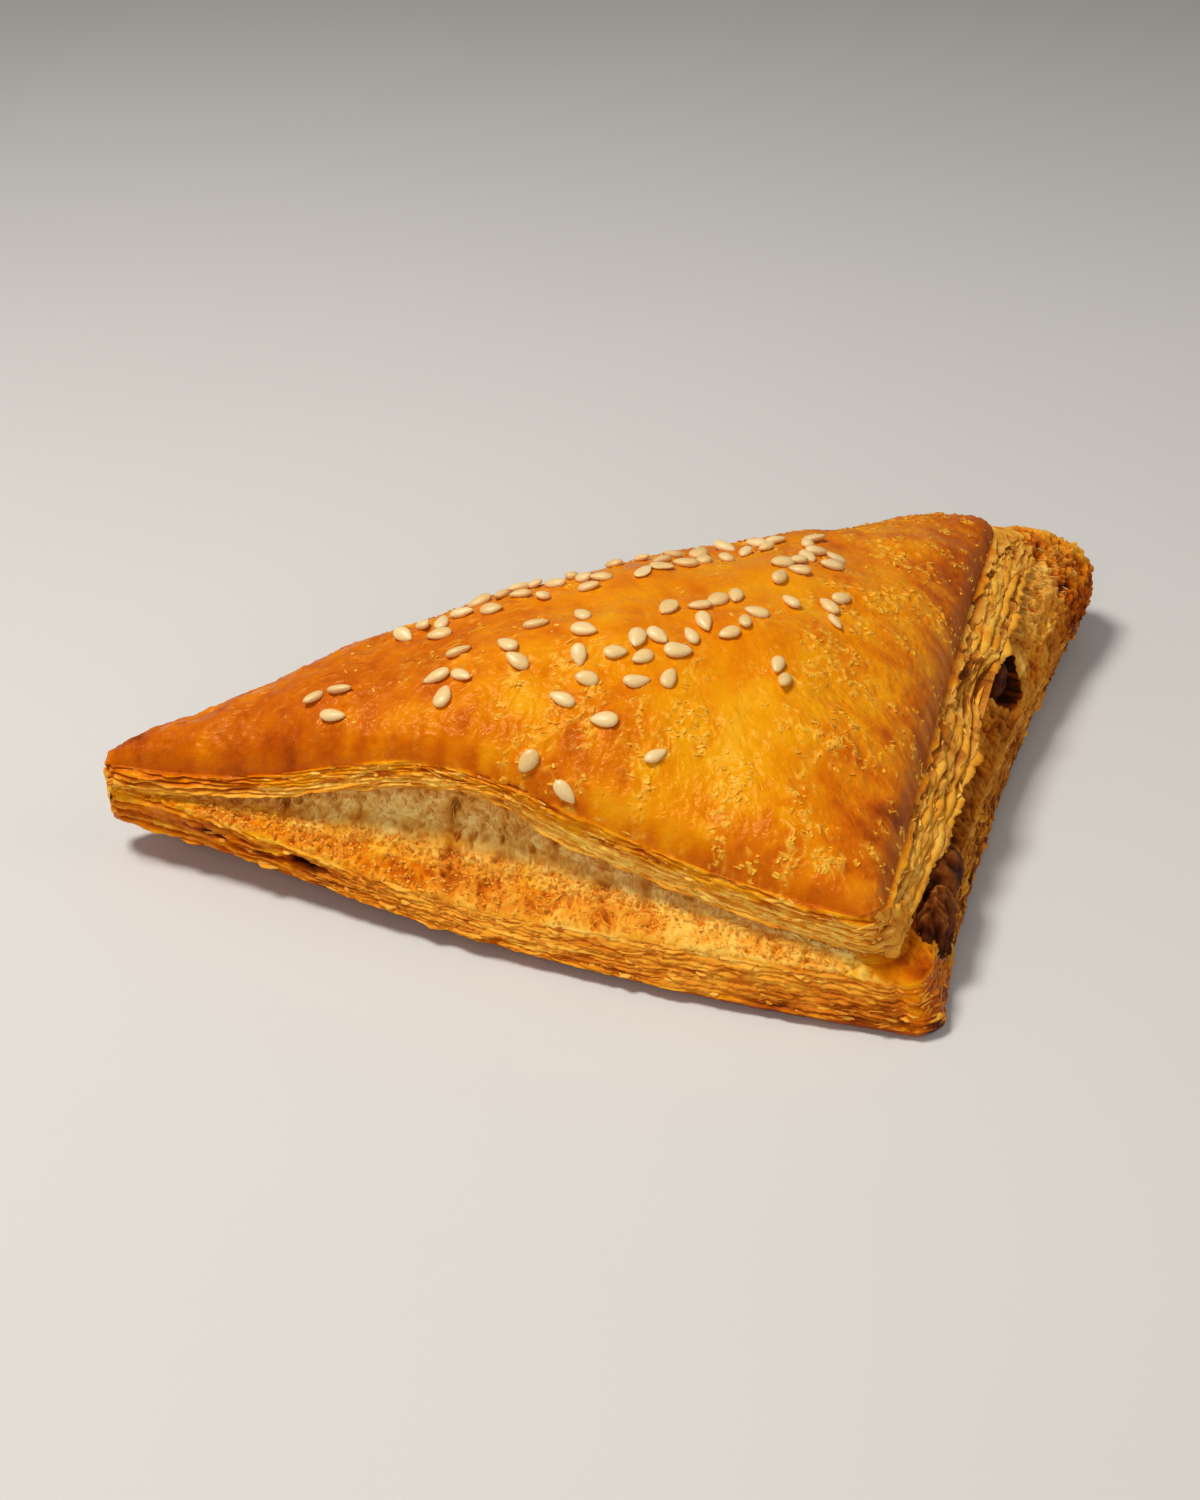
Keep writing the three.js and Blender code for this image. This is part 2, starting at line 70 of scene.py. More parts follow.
# The closed lines round the pastry from the sole upwards, as in the part's source: the tips
# that the rounded corners reach, corner radii, the swell and the lift of each side.
LEVELS = {
    "flat": {
        "A": (-60, -12, 0), "B": (-0.4, -73, 0), "C": (60, -8.5, 0),
        "round": (5, 5, 5), "bow": (3, -2, 0), "lift": (0, 0, 0),
    },
    "sole": {
        "A": (-78.4, -7.8, 4.2), "B": (-0.1, -84.4, 0.2), "C": (66.2, -6.8, 0.9),
        "round": (2, 3, 5), "bow": (3.2, -2, 1), "lift": (-0.7, 0, 0),
    },
    "foot": {
        "A": (-79.8, -8, 5.2), "B": (0.2, -85.4, 1.2), "C": (68.6, -5.8, 2.4),
        "round": (2, 3, 5), "bow": (3.5, -2.2, 2.6), "lift": (-0.9, 0, 0),
    },
    "rim": {
        "A": (-80.2, -9, 10.5), "B": (-1, -82.2, 6.8), "C": (73, -3.8, 7.4),
        "round": (2, 5, 5), "bow": (2, -2.6, 3.5), "lift": (-2.8, 1, 0),
    },
    "ledge": {
        "A": (-79.8, -9, 10.8), "B": (-2.8, -79.4, 8.2), "C": (73.2, -3.2, 11),
        "round": (2, 5, 5), "bow": (-1, -2.9, 3.9), "lift": (-1.5, 1.5, 0),
    },
    "wall": {
        "A": (-79.4, -9, 11.1), "B": (-4, -77.6, 9.2), "C": (70.8, -3, 14),
        "round": (2, 4.5, 5), "bow": (-4.4, -3.4, 3.8), "lift": (2.2, 2.5, 0.4),
    },
    "seal": {
        "A": (-79, -9, 11.4), "B": (-5.4, -76.4, 10), "C": (64, -3.6, 17),
        "round": (2, 4, 4), "bow": (-6.2, -3, 3.4), "lift": (7.1, 2, 0.6),
    },
    "lip_low": {
        "A": (-80.4, -9.6, 11.8), "B": (-3.4, -79.6, 10.2), "C": (62, -4, 18.2),
        "round": (2, 4, 4), "bow": (-3.2, 1.2, 2.9), "lift": (7.6, 1.6, 1.2),
    },
    "lip_top": {
        "A": (-79.8, -9, 14), "B": (-5, -78.6, 15), "C": (53, -6.4, 21.8),
        "round": (2, 3.5, 4), "bow": (-3, -0.2, 2.1), "lift": (8, 1.6, 0.2),
    },
    "filling": {
        "A": (-60, -13.5, 12), "B": (-3, -66, 10), "C": (50, -13, 13),
        "round": (6, 6, 6), "bow": (-1.5, -2, 1), "lift": (0, 0, 0),
    },
}

# How far the lip's lower border waves up, in mm, at places round the pastry from A.
BORDER_AT = (0.3, 0.385, 0.447, 0.495, 0.535, 0.56, 0.583, 0.62, 0.68, 0.76)
BORDER_UP = (0.0, 0.1, 0.5, 1.1, 1.2, 0.4, -0.7, -1.0, -0.6, 0.0)
ARCH_AT, ARCH_LEFT, ARCH_RIGHT = 0.455, 0.2, 0.25
BULGE_SKEW, HOLLOW_SKEW = 1.25, 0.7
CORNER_SHARE = 0.03
FADE_AT_C, FADE_AT_A = 10, (0.92, 12)
SOLE_MIDDLE = (0, -28, 0)

# The domed top, as in the part's source.
CREST_HEIGHT = 33.6
CREST_AT = np.array([-10.0, -28.0])
RISE = (0.6, 0.62, 0.57)
SHOULDER_HEIGHT, SHOULDER_STEEPNESS = 0.9, 20
WAVE_HEIGHT, WAVE_FIRST, WAVE_SECOND, WAVE_ONSET = 0.45, (0.21, 0.13), (-0.08, 0.27), 8
TOP_DENTS = (((-67.5, -9), 3.4, 1), ((-58.5, -9.5), 4, 0.6), ((12, -14), 8, 0.5))

# Points along each side and round each corner of the fine lines.
SIDE_STEPS = (520, 460, 260)
CORNER_STEPS = (40, 60, 30)

# Rows from one level to the next, and the rings of the top with the share of points kept.
ROWS = {
    "sole": 8, "foot": 6, "rim": 64, "ledge": 10, "wall": 24, "seal": 40, "lip_low": 8, "lip_top": 54,
}
GAP_BANDS = ("ledge", "wall", "seal")
TOP_RINGS, TOP_PACE = 150, 1.25

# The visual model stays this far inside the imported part's box, in metres.
BOX_MARGIN, BOX_SOFTNESS = 0.00002, 0.0005


def to_scene(points):
    """Points of the drawing as metres in the frame."""
    return (np.asarray(points, float) - MIDDLE) * MM


def held_in_box(places):
    """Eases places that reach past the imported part's box back into it."""
    for axis in range(3):
        for side, limit in ((-1, cad_box[0][axis]), (1, cad_box[1][axis])):
            room = (limit - places[:, axis]) * side - BOX_MARGIN
            if side < 0 and axis == 2:
                room = room + BOX_SOFTNESS * 0.5
            near = room < BOX_SOFTNESS
            eased = BOX_SOFTNESS * np.exp(np.minimum(room[near] / BOX_SOFTNESS - 1, 0))
            places[near, axis] = limit - side * (eased + BOX_MARGIN)
    places[:, 2] = np.maximum(places[:, 2], BOX_MARGIN)
    return places


def smooth(share):
    held = np.clip(share, 0, 1)
    return held * held * (3 - 2 * held)


def hashed(cell, seed):
    """A number from 0 to 1 for every whole-numbered cell."""
    x, y, z = (cell[..., i].astype(np.int64) for i in range(3))
    value = (x * 73856093) ^ (y * 19349663) ^ (z * 83492791) ^ (seed * 40503 + 7919)
    value = (value ^ (value >> 13)) * 1274126177 & 0xFFFFFFFF
    value = (value ^ (value >> 16)) * 2246822519 & 0xFFFFFFFF
    return (value ^ (value >> 15)) / 0xFFFFFFFF


def noise(points, size, seed):
    """Soft gradient noise, about -1 to 1, with lumps of the given size in millimetres."""
    at = np.asarray(points, float) / size
    cell = np.floor(at)
    part = at - cell
    blend = part * part * part * (part * (part * 6 - 15) + 10)
    total = np.zeros(at.shape[:-1])
    for corner in itertools.product((0, 1), repeat=3):
        offset = np.array(corner)
        weight = np.prod(np.where(offset, blend, 1 - blend), axis=-1)
        pull = np.zeros(at.shape[:-1])
        for axis in range(3):
            slope = 2 * hashed(cell + offset, seed + 101 * axis) - 1
            pull += slope * (part[..., axis] - corner[axis])
        total += weight * pull
    return total * 1.6


def speckle(points, size, seed, octaves=3):
    """Noise with finer and finer detail."""
    total = sum(noise(points, size / 2**i, seed + 17 * i) / 2**i for i in range(octaves))
    return total / sum(0.5**i for i in range(octaves))


def cells(points, size, seed):
    """Distance to the nearest of many scattered dots, in millimetres."""
    at = np.asarray(points, float) / size
    cell = np.floor(at)
    nearest = np.full(at.shape[:-1], 9.0)
    for step in itertools.product((-1, 0, 1), repeat=3):
        near = cell + np.array(step)
        dot = near + np.stack([hashed(near, seed + 31 * axis) for axis in range(3)], -1)
        nearest = np.minimum(nearest, np.linalg.norm(at - dot, axis=-1))
    return nearest * size


def ripple(along, seed):
    """The part's own unevenness round the pastry, between -1 and 1."""
    turn = along * 2 * math.pi / 3
    slow = np.sin(7 * turn + seed * 1.7)
    middle = np.sin(17 * turn + seed * 2.9)
    quick = np.sin(37 * turn + seed * 4.3)
    return (slow + middle + quick) / 3


def cut_share(along):
    """1 along the two cut sides and 0 along the fold."""
    side = (along + 3) % 3
    share = side - 2
    start, pace = FADE_AT_A
    fold = np.maximum(smooth(1 - share * FADE_AT_C), smooth((share - start) * pace))
    return np.where(side < 2, 1.0, fold)


def spotted(place, spots):
    """The sum of soft spots at flat places; a spot is its middle, its reach and its amount."""
    total = np.zeros(place.shape[:-1])
    for at, reach, amount in spots:
        away = np.linalg.norm((place - np.array(at)) / np.array(reach), axis=-1)
        total += amount * np.exp(-(away**2))
    return total


def turned(vectors, angle):
    """Flat vectors turned by an angle in radians."""
    turn = np.array([[math.cos(angle), math.sin(angle)], [-math.sin(angle), math.cos(angle)]])
    return vectors @ turn


def draw(order):
    """A number from 0 to 1 that is always the same for the same place in the order."""
    value = math.sin(order * 12.9898) * 43758.5453
    return value - math.floor(value)


def unit(vector):
    return vector / np.linalg.norm(vector)


def bow_skew(side, bow):
    if side == 0 and bow > 0:
        return BULGE_SKEW
    return HOLLOW_SKEW if side == 1 else 1


def corner_circles(tips, radii):
    """The circle in each corner whose far side reaches the corner's tip."""
    def arms(corners, i):
        back = unit(corners[(i + 2) % 3] - corners[i])
        on = unit(corners[(i + 1) % 3] - corners[i])
        return back, on, math.acos(back @ on) / 2

    corners = []
    for i in range(3):
        back, on, half = arms(tips, i)
        corners.append(tips[i] - unit(back + on) * radii[i] * (1 / math.sin(half) - 1))
    circles = []
    for i in range(3):
        back, on, half = arms(corners, i)
        middle = corners[i] + unit(back + on) * radii[i] / math.sin(half)
        reach = radii[i] / math.tan(half)
        circles.append((corners[i], middle, corners[i] + back * reach, corners[i] + on * reach))
    return circles


def level_tips(level):
    return [np.array(level[name][:2], float) for name in "ABC"]


def level_height(level, along):
    """A level's height: 0 to 1 front, 1 to 2 right, 2 to 3 fold."""
    side = np.floor(along).astype(int) % 3
    share = along - np.floor(along)
    heights = np.array([level[name][2] for name in "ABC"], float)
    blend = smooth(share)
    plain = heights[side] * (1 - blend) + heights[(side + 1) % 3] * blend
    lift = np.array(level["lift"], float)[side] * np.sin(np.pi * share)
    reach = np.where(share < ARCH_AT, ARCH_LEFT, ARCH_RIGHT)
    arch = level["lift"][0] * np.exp(-(((share - ARCH_AT) / reach) ** 2))
    return plain + np.where(side > 0, lift, arch)


def outline(level):
    """A level's outline as flat points with their place round the pastry."""
    circles = corner_circles(level_tips(level), level["round"])
    places, alongs = [], []
    for side in range(3):
        _, middle, start, end = circles[(side + 1) % 3]
        first = circles[side][3]
        run = unit(start - first)
        outward = np.array([run[1], -run[0]])
        bow = level["bow"][side]
        share = np.arange(SIDE_STEPS[side]) / SIDE_STEPS[side]
        swell = bow * np.sin(np.pi * share ** bow_skew(side, bow))
        places.append(first + np.outer(share, start - first) + np.outer(swell, outward))
        alongs.append(side + CORNER_SHARE + (1 - 2 * CORNER_SHARE) * share)
        low = math.atan2(*(start - middle)[::-1])
        sweep = (math.atan2(*(end - middle)[::-1]) - low) % (2 * math.pi)
        share = np.arange(CORNER_STEPS[side]) / CORNER_STEPS[side]
        angle = low + sweep * share
        arm = np.stack([np.cos(angle), np.sin(angle)], -1) * level["round"][(side + 1) % 3]
        places.append(middle + arm)
        alongs.append((side + 1 - CORNER_SHARE + 2 * CORNER_SHARE * share) % 3)
    return np.concatenate(places), np.concatenate(alongs)


def ring(name):
    """One level as points in space, with the place round the pastry and outward directions."""
    level = LEVELS[name]
    flat, along = outline(level)
    run = np.roll(flat, -1, axis=0) - np.roll(flat, 1, axis=0)
    run /= np.linalg.norm(run, axis=1, keepdims=True)
    out = np.stack([run[:, 1], -run[:, 0], np.zeros(len(run))], -1)
    height = level_height(level, along)
    if name == "lip_low":
        height = height + np.interp(along, BORDER_AT, BORDER_UP)
    return np.column_stack([flat, height]), along, out


def inner_corners(level):
    """Where a level's sides would meet if its corners weren't rounded."""
    return [circle[0] for circle in corner_circles(level_tips(level), level["round"])]


def inset(place, corners, side, bow):
    """How far inside one bowed side of a level each place lies."""
    start, end = corners[side], corners[(side + 1) % 3]
    run = unit(end - start)
    offset = place - start
    share = np.clip(offset @ run / np.linalg.norm(end - start), 0, 1)
    swell = bow * np.sin(np.pi * share ** bow_skew(side, bow))
    return np.maximum(run[0] * offset[..., 1] - run[1] * offset[..., 0] + swell, 0)


def rise_over(name):
    """Tells how far a place on the cushion has risen to its crest, from 0 to 1."""
    level = LEVELS[name]
    corners = inner_corners(level)

    def rise(place):
        share = np.ones(place.shape[:-1])
        for side in range(3):
            bow = level["bow"][side]
            near = inset(place, corners, side, bow)
            share = share * (near / inset(CREST_AT, corners, side, bow)) ** RISE[side]
        return np.minimum(share, 1)

    return rise


def top_height(place, edge, scale):
    """Height of the domed top at places on one ring of it."""
    share = rise_over("lip_top")(place)
    raised = edge + SHOULDER_HEIGHT * smooth((1 - scale) * SHOULDER_STEEPNESS) * (1 - share)
    waves = WAVE_HEIGHT * np.sin(place @ np.array(WAVE_FIRST)) * np.sin(place @ np.array(WAVE_SECOND))
    waves = (waves - spotted(place, TOP_DENTS)) * smooth((1 - scale) * WAVE_ONSET)
    return raised * (1 - share) + CREST_HEIGHT * share + waves


def band_rows(lower, upper, count):
    """Rows of points from just above one level up to the next."""
    low, high = ring(lower)[0], ring(upper)[0]
    shares = np.arange(1, count + 1) / count
    return low + shares[:, None, None] * (high - low)


# Baked leaves of the cut edges: how far they stand out and how deep the gaps between them are
# in mm, how far they wander in leaves, how crinkled and how ragged they are.
LEAVES = {
    "sheet": {"reach": 0.3, "gap": 0.26, "wander": 1.3, "crinkle": 1.0, "rag": 0.34},
    "lip": {"reach": 0.3, "gap": 0.34, "wander": 1.1, "crinkle": 1.1, "rag": 0.24},
    "fan": {"reach": 0.85, "gap": 1.0, "wander": 0.6, "crinkle": 0.2, "rag": 0.08},
}

# How many leaves lie up each edge, at places round the pastry from A; the fan has its own.
COUNTS_AT = (0.0, 0.15, 0.25, 0.4, 1.0)
COUNTS = {"sheet": (4, 5, 7, 8.5, 9.5), "lip": (3.2, 3.6, 5.4, 7, 6.6), "fan": (4.6,) * 5}


def run_round():
    """Distance round the pastry of each column, in millimetres."""
    flat = ring("flat")[0][:, :2]
    step = np.linalg.norm(np.roll(flat, -1, axis=0) - flat, axis=1)
    return np.concatenate([[0], np.cumsum(step)[:-1]])


def drawn_out(run, height, across, up, seed):
    """Noise drawn out along an edge: lumps across mm long and up mm high."""
    at = np.stack([run / across, height / up, np.full_like(height, seed * 0.37)], -1)
    return noise(at, 1.0, seed)


def lamination(points, along, run, share, tall, kind, seed):
    """Relief of a cut edge in millimetres, and how near each point is to a leaf's crest."""
    leaf = LEAVES[kind]
    run = np.broadcast_to(run, share.shape)
    height = share * tall
    warp = leaf["wander"] * drawn_out(run, height, 17, 9, seed)
    crinkle = 0.55 * drawn_out(run, height, 5.5, 2.2, seed + 1)
    crinkle = crinkle + 0.3 * drawn_out(run, height, 1.9, 1.1, seed + 6)
    level = share * np.interp(along, COUNTS_AT, COUNTS[kind]) + warp + leaf["crinkle"] * crinkle
    number = np.floor(level)
    part = level - number
    crest = (np.sin(np.pi * part ** 0.8)) ** 0.6
    reach = 0.45 + 0.75 * drawn_out(run, number * 7.3, 6, 1, seed + 2)
    reach = reach + 0.5 * drawn_out(run, number * 7.3, 1.7, 1, seed + 3)
    chip = smooth(3.2 * drawn_out(run, number * 7.3, 3.4, 1, seed + 5) - 0.45)
    fibre = ridged(drawn_out(run, height, 4.2, 0.5, seed + 9)) * smooth(along * 5 - 0.4)
    rag = speckle(points, 1.1, seed + 4)
    swell = 0.3 * noise(points, 7, seed + 8)
    opened = smooth(0.45 + 1.9 * drawn_out(run, number * 5.1, 5.5, 1, seed + 12))
    thick = smooth((0.27 - along) * 8) * (along < 1)
    opened = np.maximum(opened, 0.85 if kind == "fan" else 0.12 + 0.6 * thick)
    relief = leaf["reach"] * (1 + 1.5 * thick) * reach * crest + leaf["rag"] * rag
    relief = relief - leaf["gap"] * (1 + 0.6 * thick) * (1 - crest) * opened
    relief = relief + 0.13 * leaf["crinkle"] * fibre + swell - 0.5 * leaf["reach"] * chip * crest
    ridge = (1 - (1 - crest) * opened) * (1 - 0.5 * chip) * (0.8 + 0.2 * fibre + 0.25 * rag)
    return relief, np.clip(ridge, 0, 1)


def linked(name, data):
    """A new object in the scene."""
    thing = bpy.data.objects.new(name, data)
    bpy.context.scene.collection.objects.link(thing)
    return thing


def add_piece(name, points, faces, reads, material, normals=None, crisp=False, stands_for=DOUGH):
    """A piece from points of the drawing, with one number per point for all that its material reads."""
    mesh = bpy.data.meshes.new(name)
    mesh.from_pydata(held_in_box(to_scene(points)).tolist(), [], [tuple(face) for face in faces])
    for key, values in reads.items():
        layer = mesh.attributes.new(key, "FLOAT", "POINT")
        layer.data.foreach_set("value", np.asarray(values, np.float32))
    mesh.polygons.foreach_set("use_smooth", np.full(len(mesh.polygons), not crisp))
    if normals is not None:
        mesh.normals_split_custom_set_from_vertices(normals.tolist())
    mesh.validate()
    mesh.materials.append(material)
    node, slot = stands_for
    thing = linked(name, mesh)
    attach(thing, "root")
    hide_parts(node)


def same_reads(toast, glaze=0.0, torn=0.0, flaked=0.0):
    """What the dough's material reads on a small piece, where only the browning differs."""
    none = np.zeros(len(toast))
    return {"toast": toast, "glaze": none + glaze, "torn": none + torn, "flaked": none + flaked}


# Upright creases of the gap's wall: place round the pastry, half width in mm and depth in mm.
CREASES = (
    (0.25, 0.7, 0.5), (0.345, 0.5, 0.4), (0.43, 0.45, 0.5), (0.47, 1.0, 1.1), (0.535, 0.5, 0.5),
    (0.6, 0.6, 0.4), (0.667, 1.1, 1.3), (0.72, 1.4, 0.9), (0.78, 0.9, 1.0), (0.87, 0.7, 0.5),
)
FRONT_LENGTH = 115.0

# The tear in the right-hand side: middle, half sizes, turn and depth.
TEAR = {"at": (38.8, -33.9, 13.0), "half": (4.3, 4.6, 3.0), "turn": 0.77, "depth": 7.0}

# The porous browned lump of dough at C: its middle and reach.
POROUS_AT, POROUS_REACH = (68.5, -9, 10.5), 11.0

# Holes and streaks that scorched in the sheet's front edge: place round the pastry, share of
# the edge's height, reach along and up in mm, depth in mm and how much darker.
SHEET_HEIGHT = 6.0
SCORCHED = (
    (0.276, 0.5, 2.1, 0.95, 2.3, 0.85), (0.303, 0.6, 1.3, 0.5, 0.8, 0.4),
    (0.235, 0.4, 2.0, 0.5, 0.6, 0.4), (0.192, 0.37, 1.6, 0.6, 0.5, 0.4),
    (0.215, 0.62, 2.0, 0.35, 0.2, 0.2), (0.15, 0.5, 4.0, 0.4, 0.2, 0.2),
    (0.25, 0.8, 3.0, 0.35, 0.2, 0.25), (0.75, 0.5, 1.2, 0.3, 0.3, 0.25),
)


def porous_share(points):
    away = np.linalg.norm(points - np.array(POROUS_AT), axis=-1) / POROUS_REACH
    return smooth((1.2 + 0.25 * noise(points, 5, 60) - away) * 2.6)


def pores(points):
    """1 in the open pores of the lump at C and 0 between them."""
    wide = cells(points, 2.4, 61)
    small = cells(points, 1.25, 64)
    wide = smooth(1.6 - wide / (0.76 + 0.3 * noise(points, 4, 62)))
    small = smooth(1.5 - small / (0.36 + 0.16 * noise(points, 3, 65)))
    return np.maximum(wide, 0.7 * small)


def scorch(along, share):
    """Depth and darkness of the scorched places, for points of the sheet's front edge."""
    depth = np.zeros(share.shape)
    dark = np.zeros(share.shape)
    for at, up, wide, high, deep, burnt in SCORCHED:
        away = np.hypot((along[None] - at) * FRONT_LENGTH / wide, (share - up) * SHEET_HEIGHT / high)
        hit = smooth(1.6 - away)
        depth = np.maximum(depth, deep * hit)
        dark = np.maximum(dark, burnt * hit)
    return depth, dark


def sheet_share(rows):
    """How high each point lies between the sheet's foot and its rim."""
    foot, rim = ring("foot")[0][:, 2], ring("rim")[0][:, 2]
    return (rows[..., 2] - foot) / np.maximum(rim - foot, 0.1)


def grid_normals(rows):
    """Outward directions of a closed band of rows."""
    around = np.roll(rows, -1, axis=1) - np.roll(rows, 1, axis=1)
    up = np.gradient(rows, axis=0)
    normal = np.cross(around, up)
    return normal / np.maximum(np.linalg.norm(normal, axis=-1, keepdims=True), 1e-9)


def ridged(value):
    """1 along the lines where a noise crosses nought, falling to about -1."""
    return 1 - 2.6 * np.abs(value)


def fibres(points, run, seed):
    """Relief of torn, fibrous dough that was drawn upwards, from about -1 to 1."""
    height = points[..., 2]
    run = np.broadcast_to(run, height.shape) + 0.7 * noise(points, 3.5, seed)
    run = run + 0.4 * noise(points, 1.3, seed + 1)
    coarse = ridged(drawn_out(run, height, 1.9, 4.5, seed + 4))
    middle = ridged(drawn_out(run, height, 0.95, 1.8, seed + 5))
    fine = ridged(drawn_out(run, height, 0.5, 0.9, seed + 6))
    return 0.34 * coarse + 0.4 * middle + 0.26 * fine + 0.25 * speckle(points, 0.8, seed + 7, 2)


def crumbs(points, seed):
    """Relief of lumpy crumb with flaky steps in it, in millimetres."""
    bent = points + 0.5 * np.stack([noise(points, 1.5, seed + 1 + i) for i in range(3)], -1)
    lumps = 0.34 * speckle(points, 2.6, seed, 3) + 0.2 * ridged(noise(bent, 1.2, seed + 5))
    lumps = lumps + 0.1 * ridged(noise(bent, 0.6, seed + 10))
    part = 2.6 * noise(bent, 5, seed + 6) + 1.2 * noise(bent, 1.9, seed + 7)
    part = part - np.floor(part)
    pit = cells(points, 2.0, seed + 8)
    pit = smooth(1.3 - pit / (0.32 + 0.2 * noise(points, 5, seed + 9)))
    return lumps + 0.3 * (smooth(part * 5) - part) - 0.35 * pit


def crease_depth(points, along):
    """How deep the upright creases of the front wall are at each point."""
    depth = np.zeros(points.shape[:2])
    wander = 0.9 * noise(points, 2.4, 99) + 0.4 * noise(points, 1, 98)
    for at, half, deep in CREASES:
        away = ((along - at) * FRONT_LENGTH + wander) / half
        depth = depth + deep * np.exp(-(away**2))
    return depth * (0.8 + 0.7 * noise(points, 2, 97))


def side_bands():
    """The rows of the dough's side from the sole up: base points, band names and columns."""
    names = ["flat", *ROWS]
    rows, bands = [ring("flat")[0][None]], ["flat"]
    for lower, upper in zip(names, names[1:]):
        rows.append(band_rows(lower, upper, ROWS[upper]))
        bands += [upper] * ROWS[upper]
    return np.concatenate(rows), np.array(bands)


def right_share(along):
    """1 along the right-hand side, between the corners B and C."""
    return smooth((along - 0.985) * 40) * smooth((2.0 - along) * 16)


# The fan gives way beside the tear: place round the pastry, half width there and depth in mm.
NOTCH = {"at": 1.53, "half": 0.06, "depth": 2.4}


def notched(along):
    return np.exp(-(((along - NOTCH["at"]) / NOTCH["half"]) ** 2))


def fold_at_b(along):
    """1 on the sheet's rounded fold at the corner B, where its leaves are sealed."""
    return smooth((along - 0.968) * 60) * smooth((1.05 - along) * 25)


def edge_relief(rows, along, kind, low, high):
    """Relief and crests of one cut edge; the lip opens into a fan along the right side."""
    run = run_round()
    tall = np.maximum(high - low, 0.5)
    share = np.clip((rows[..., 2] - low) / tall, 0, 1)
    if kind == "sheet":
        return lamination(rows, along, run, share, tall, "sheet", 11)
    relief, ridge = lamination(rows, along, run, share, tall, "lip", 47)
    fanned, fan_ridge = lamination(rows, along, run, share, 2 * tall, "fan", 83)
    right = right_share(along)[None]
    notch = NOTCH["depth"] * notched(along) * (1 - share)
    return relief + (fanned - relief) * right - notch, ridge + (fan_ridge - ridge) * right


def torn_dough(rows, bands):
    """Where the gap's dough is torn, beige and fibrous, from 0 by the rim to 1 high on the wall."""
    place = np.zeros(len(bands))
    for number, band in enumerate(GAP_BANDS):
        mine = bands == band
        place[mine] = number + np.arange(1, mine.sum() + 1) / mine.sum()
    wander = 0.35 * noise(rows, 5, 430) + 0.2 * noise(rows, 1.6, 431)
    return smooth((place[:, None] - 1.15 + wander) / 0.9) * (place > 0)[:, None], place


def side_relief(rows, bands, along, out, torn):
    """Where the fine relief moves the side's points, with what it says about colour."""
    cut = cut_share(along)[None, :, None]
    normal = grid_normals(rows)
    run = run_round()
    foot, rim = ring("foot")[0], ring("rim")[0]
    lip, lip_top = ring("lip_low")[0], ring("lip_top")[0]
    moved = rows.copy()
    crest = np.ones(rows.shape[:2])
    edges = (("sheet", "rim", foot, rim), ("lip", "lip_top", lip, lip_top))
    for kind, band, base, top in edges:
        mine = bands == band
        relief, ridge = edge_relief(rows[mine], along, kind, base[:, 2], top[:, 2])
        if kind == "sheet":
            relief = relief * (1 - 0.75 * fold_at_b(along))
            share = sheet_share(rows[mine])
            relief = relief - scorch(along, share)[0]
            seam = (along - 0.968 - 0.014 * share) * FRONT_LENGTH / 0.55
            swollen = fold_at_b(along) * smooth(1 - np.abs(seam - 4) / 5)
            relief = relief - 0.6 * np.exp(-(seam**2)) + 0.35 * swollen
        moved[mine] += out * relief[..., None] * cut
        crest[mine] = ridge
    carry = np.linalg.norm(rows - rim, axis=-1)
    last = np.where(bands == "rim")[0][-1]
    kept = moved[last] - rows[last]
    for band in GAP_BANDS:
        mine = bands == band
        drawn = fibres(rows[mine], run, 73)
        relief = 0.85 * torn[mine] * drawn + 1.25 * (1 - torn[mine]) * crumbs(rows[mine], 90)
        relief = relief * (1 - 0.75 * fold_at_b(along))
        creased = {"ledge": 0.15, "wall": 0.7, "seal": 1.1}[band]
        relief = relief - creased * crease_depth(rows[mine], along)
        moved[mine] += normal[mine] * relief[..., None] * cut
        moved[mine] += kept * np.exp(-carry[mine] / 0.7)[..., None]
        crest[mine] = np.clip(0.55 + 0.75 * relief, 0, 1)
    low = np.isin(bands, ("sole", "foot"))
    moved[low] += normal[low] * 0.18 * speckle(rows[low], 3, 33)[..., None]
    smooth_side = 0.22 * speckle(rows, 7, 140) + 0.08 * speckle(rows, 1.6, 141)
    moved += normal * (smooth_side * (1 - cut[..., 0]))[..., None]
    lump = porous_share(rows) * (bands != "flat")[:, None]
    crumb = 0.6 * speckle(rows, 2.4, 63) + 0.5 - 1.7 * pores(rows)
    moved += normal * (lump * crumb)[..., None]
    return dented(moved, out), crest, cut[..., 0]


def tear_reach(points):
    """How far each point lies from the middle of the tear, in shares of its size."""
    away = points - np.array(TEAR["at"])
    local = np.concatenate([turned(away[..., :2], -TEAR["turn"]), away[..., 2:]], -1)
    ragged = 1 + 0.16 * noise(points, 2.2, 201)
    return np.linalg.norm(local / np.array(TEAR["half"]), axis=-1) * ragged


def torn_share(points):
    """1 inside the tear and 0 away from it."""
    return smooth((1.4 - tear_reach(points)) * 7)


def dented(points, out):
    """The side's points with the tear pushed in."""
    depth = TEAR["depth"] * smooth((1.25 - tear_reach(points)) * 6)
    return points - out * depth[..., None]


def side_frames():
    """Start and direction of each side of the lip, for relief that runs down the slope."""
    tips = level_tips(LEVELS["lip_top"])
    return [(tips[i], unit(tips[(i + 1) % 3] - tips[i])) for i in range(3)]


def lip_distances(place):
    """How far inside each side of the lip a place lies, in millimetres."""
    level = LEVELS["lip_top"]
    corners = inner_corners(level)
    return np.stack([inset(place, corners, side, level["bow"][side]) for side in range(3)], -1)


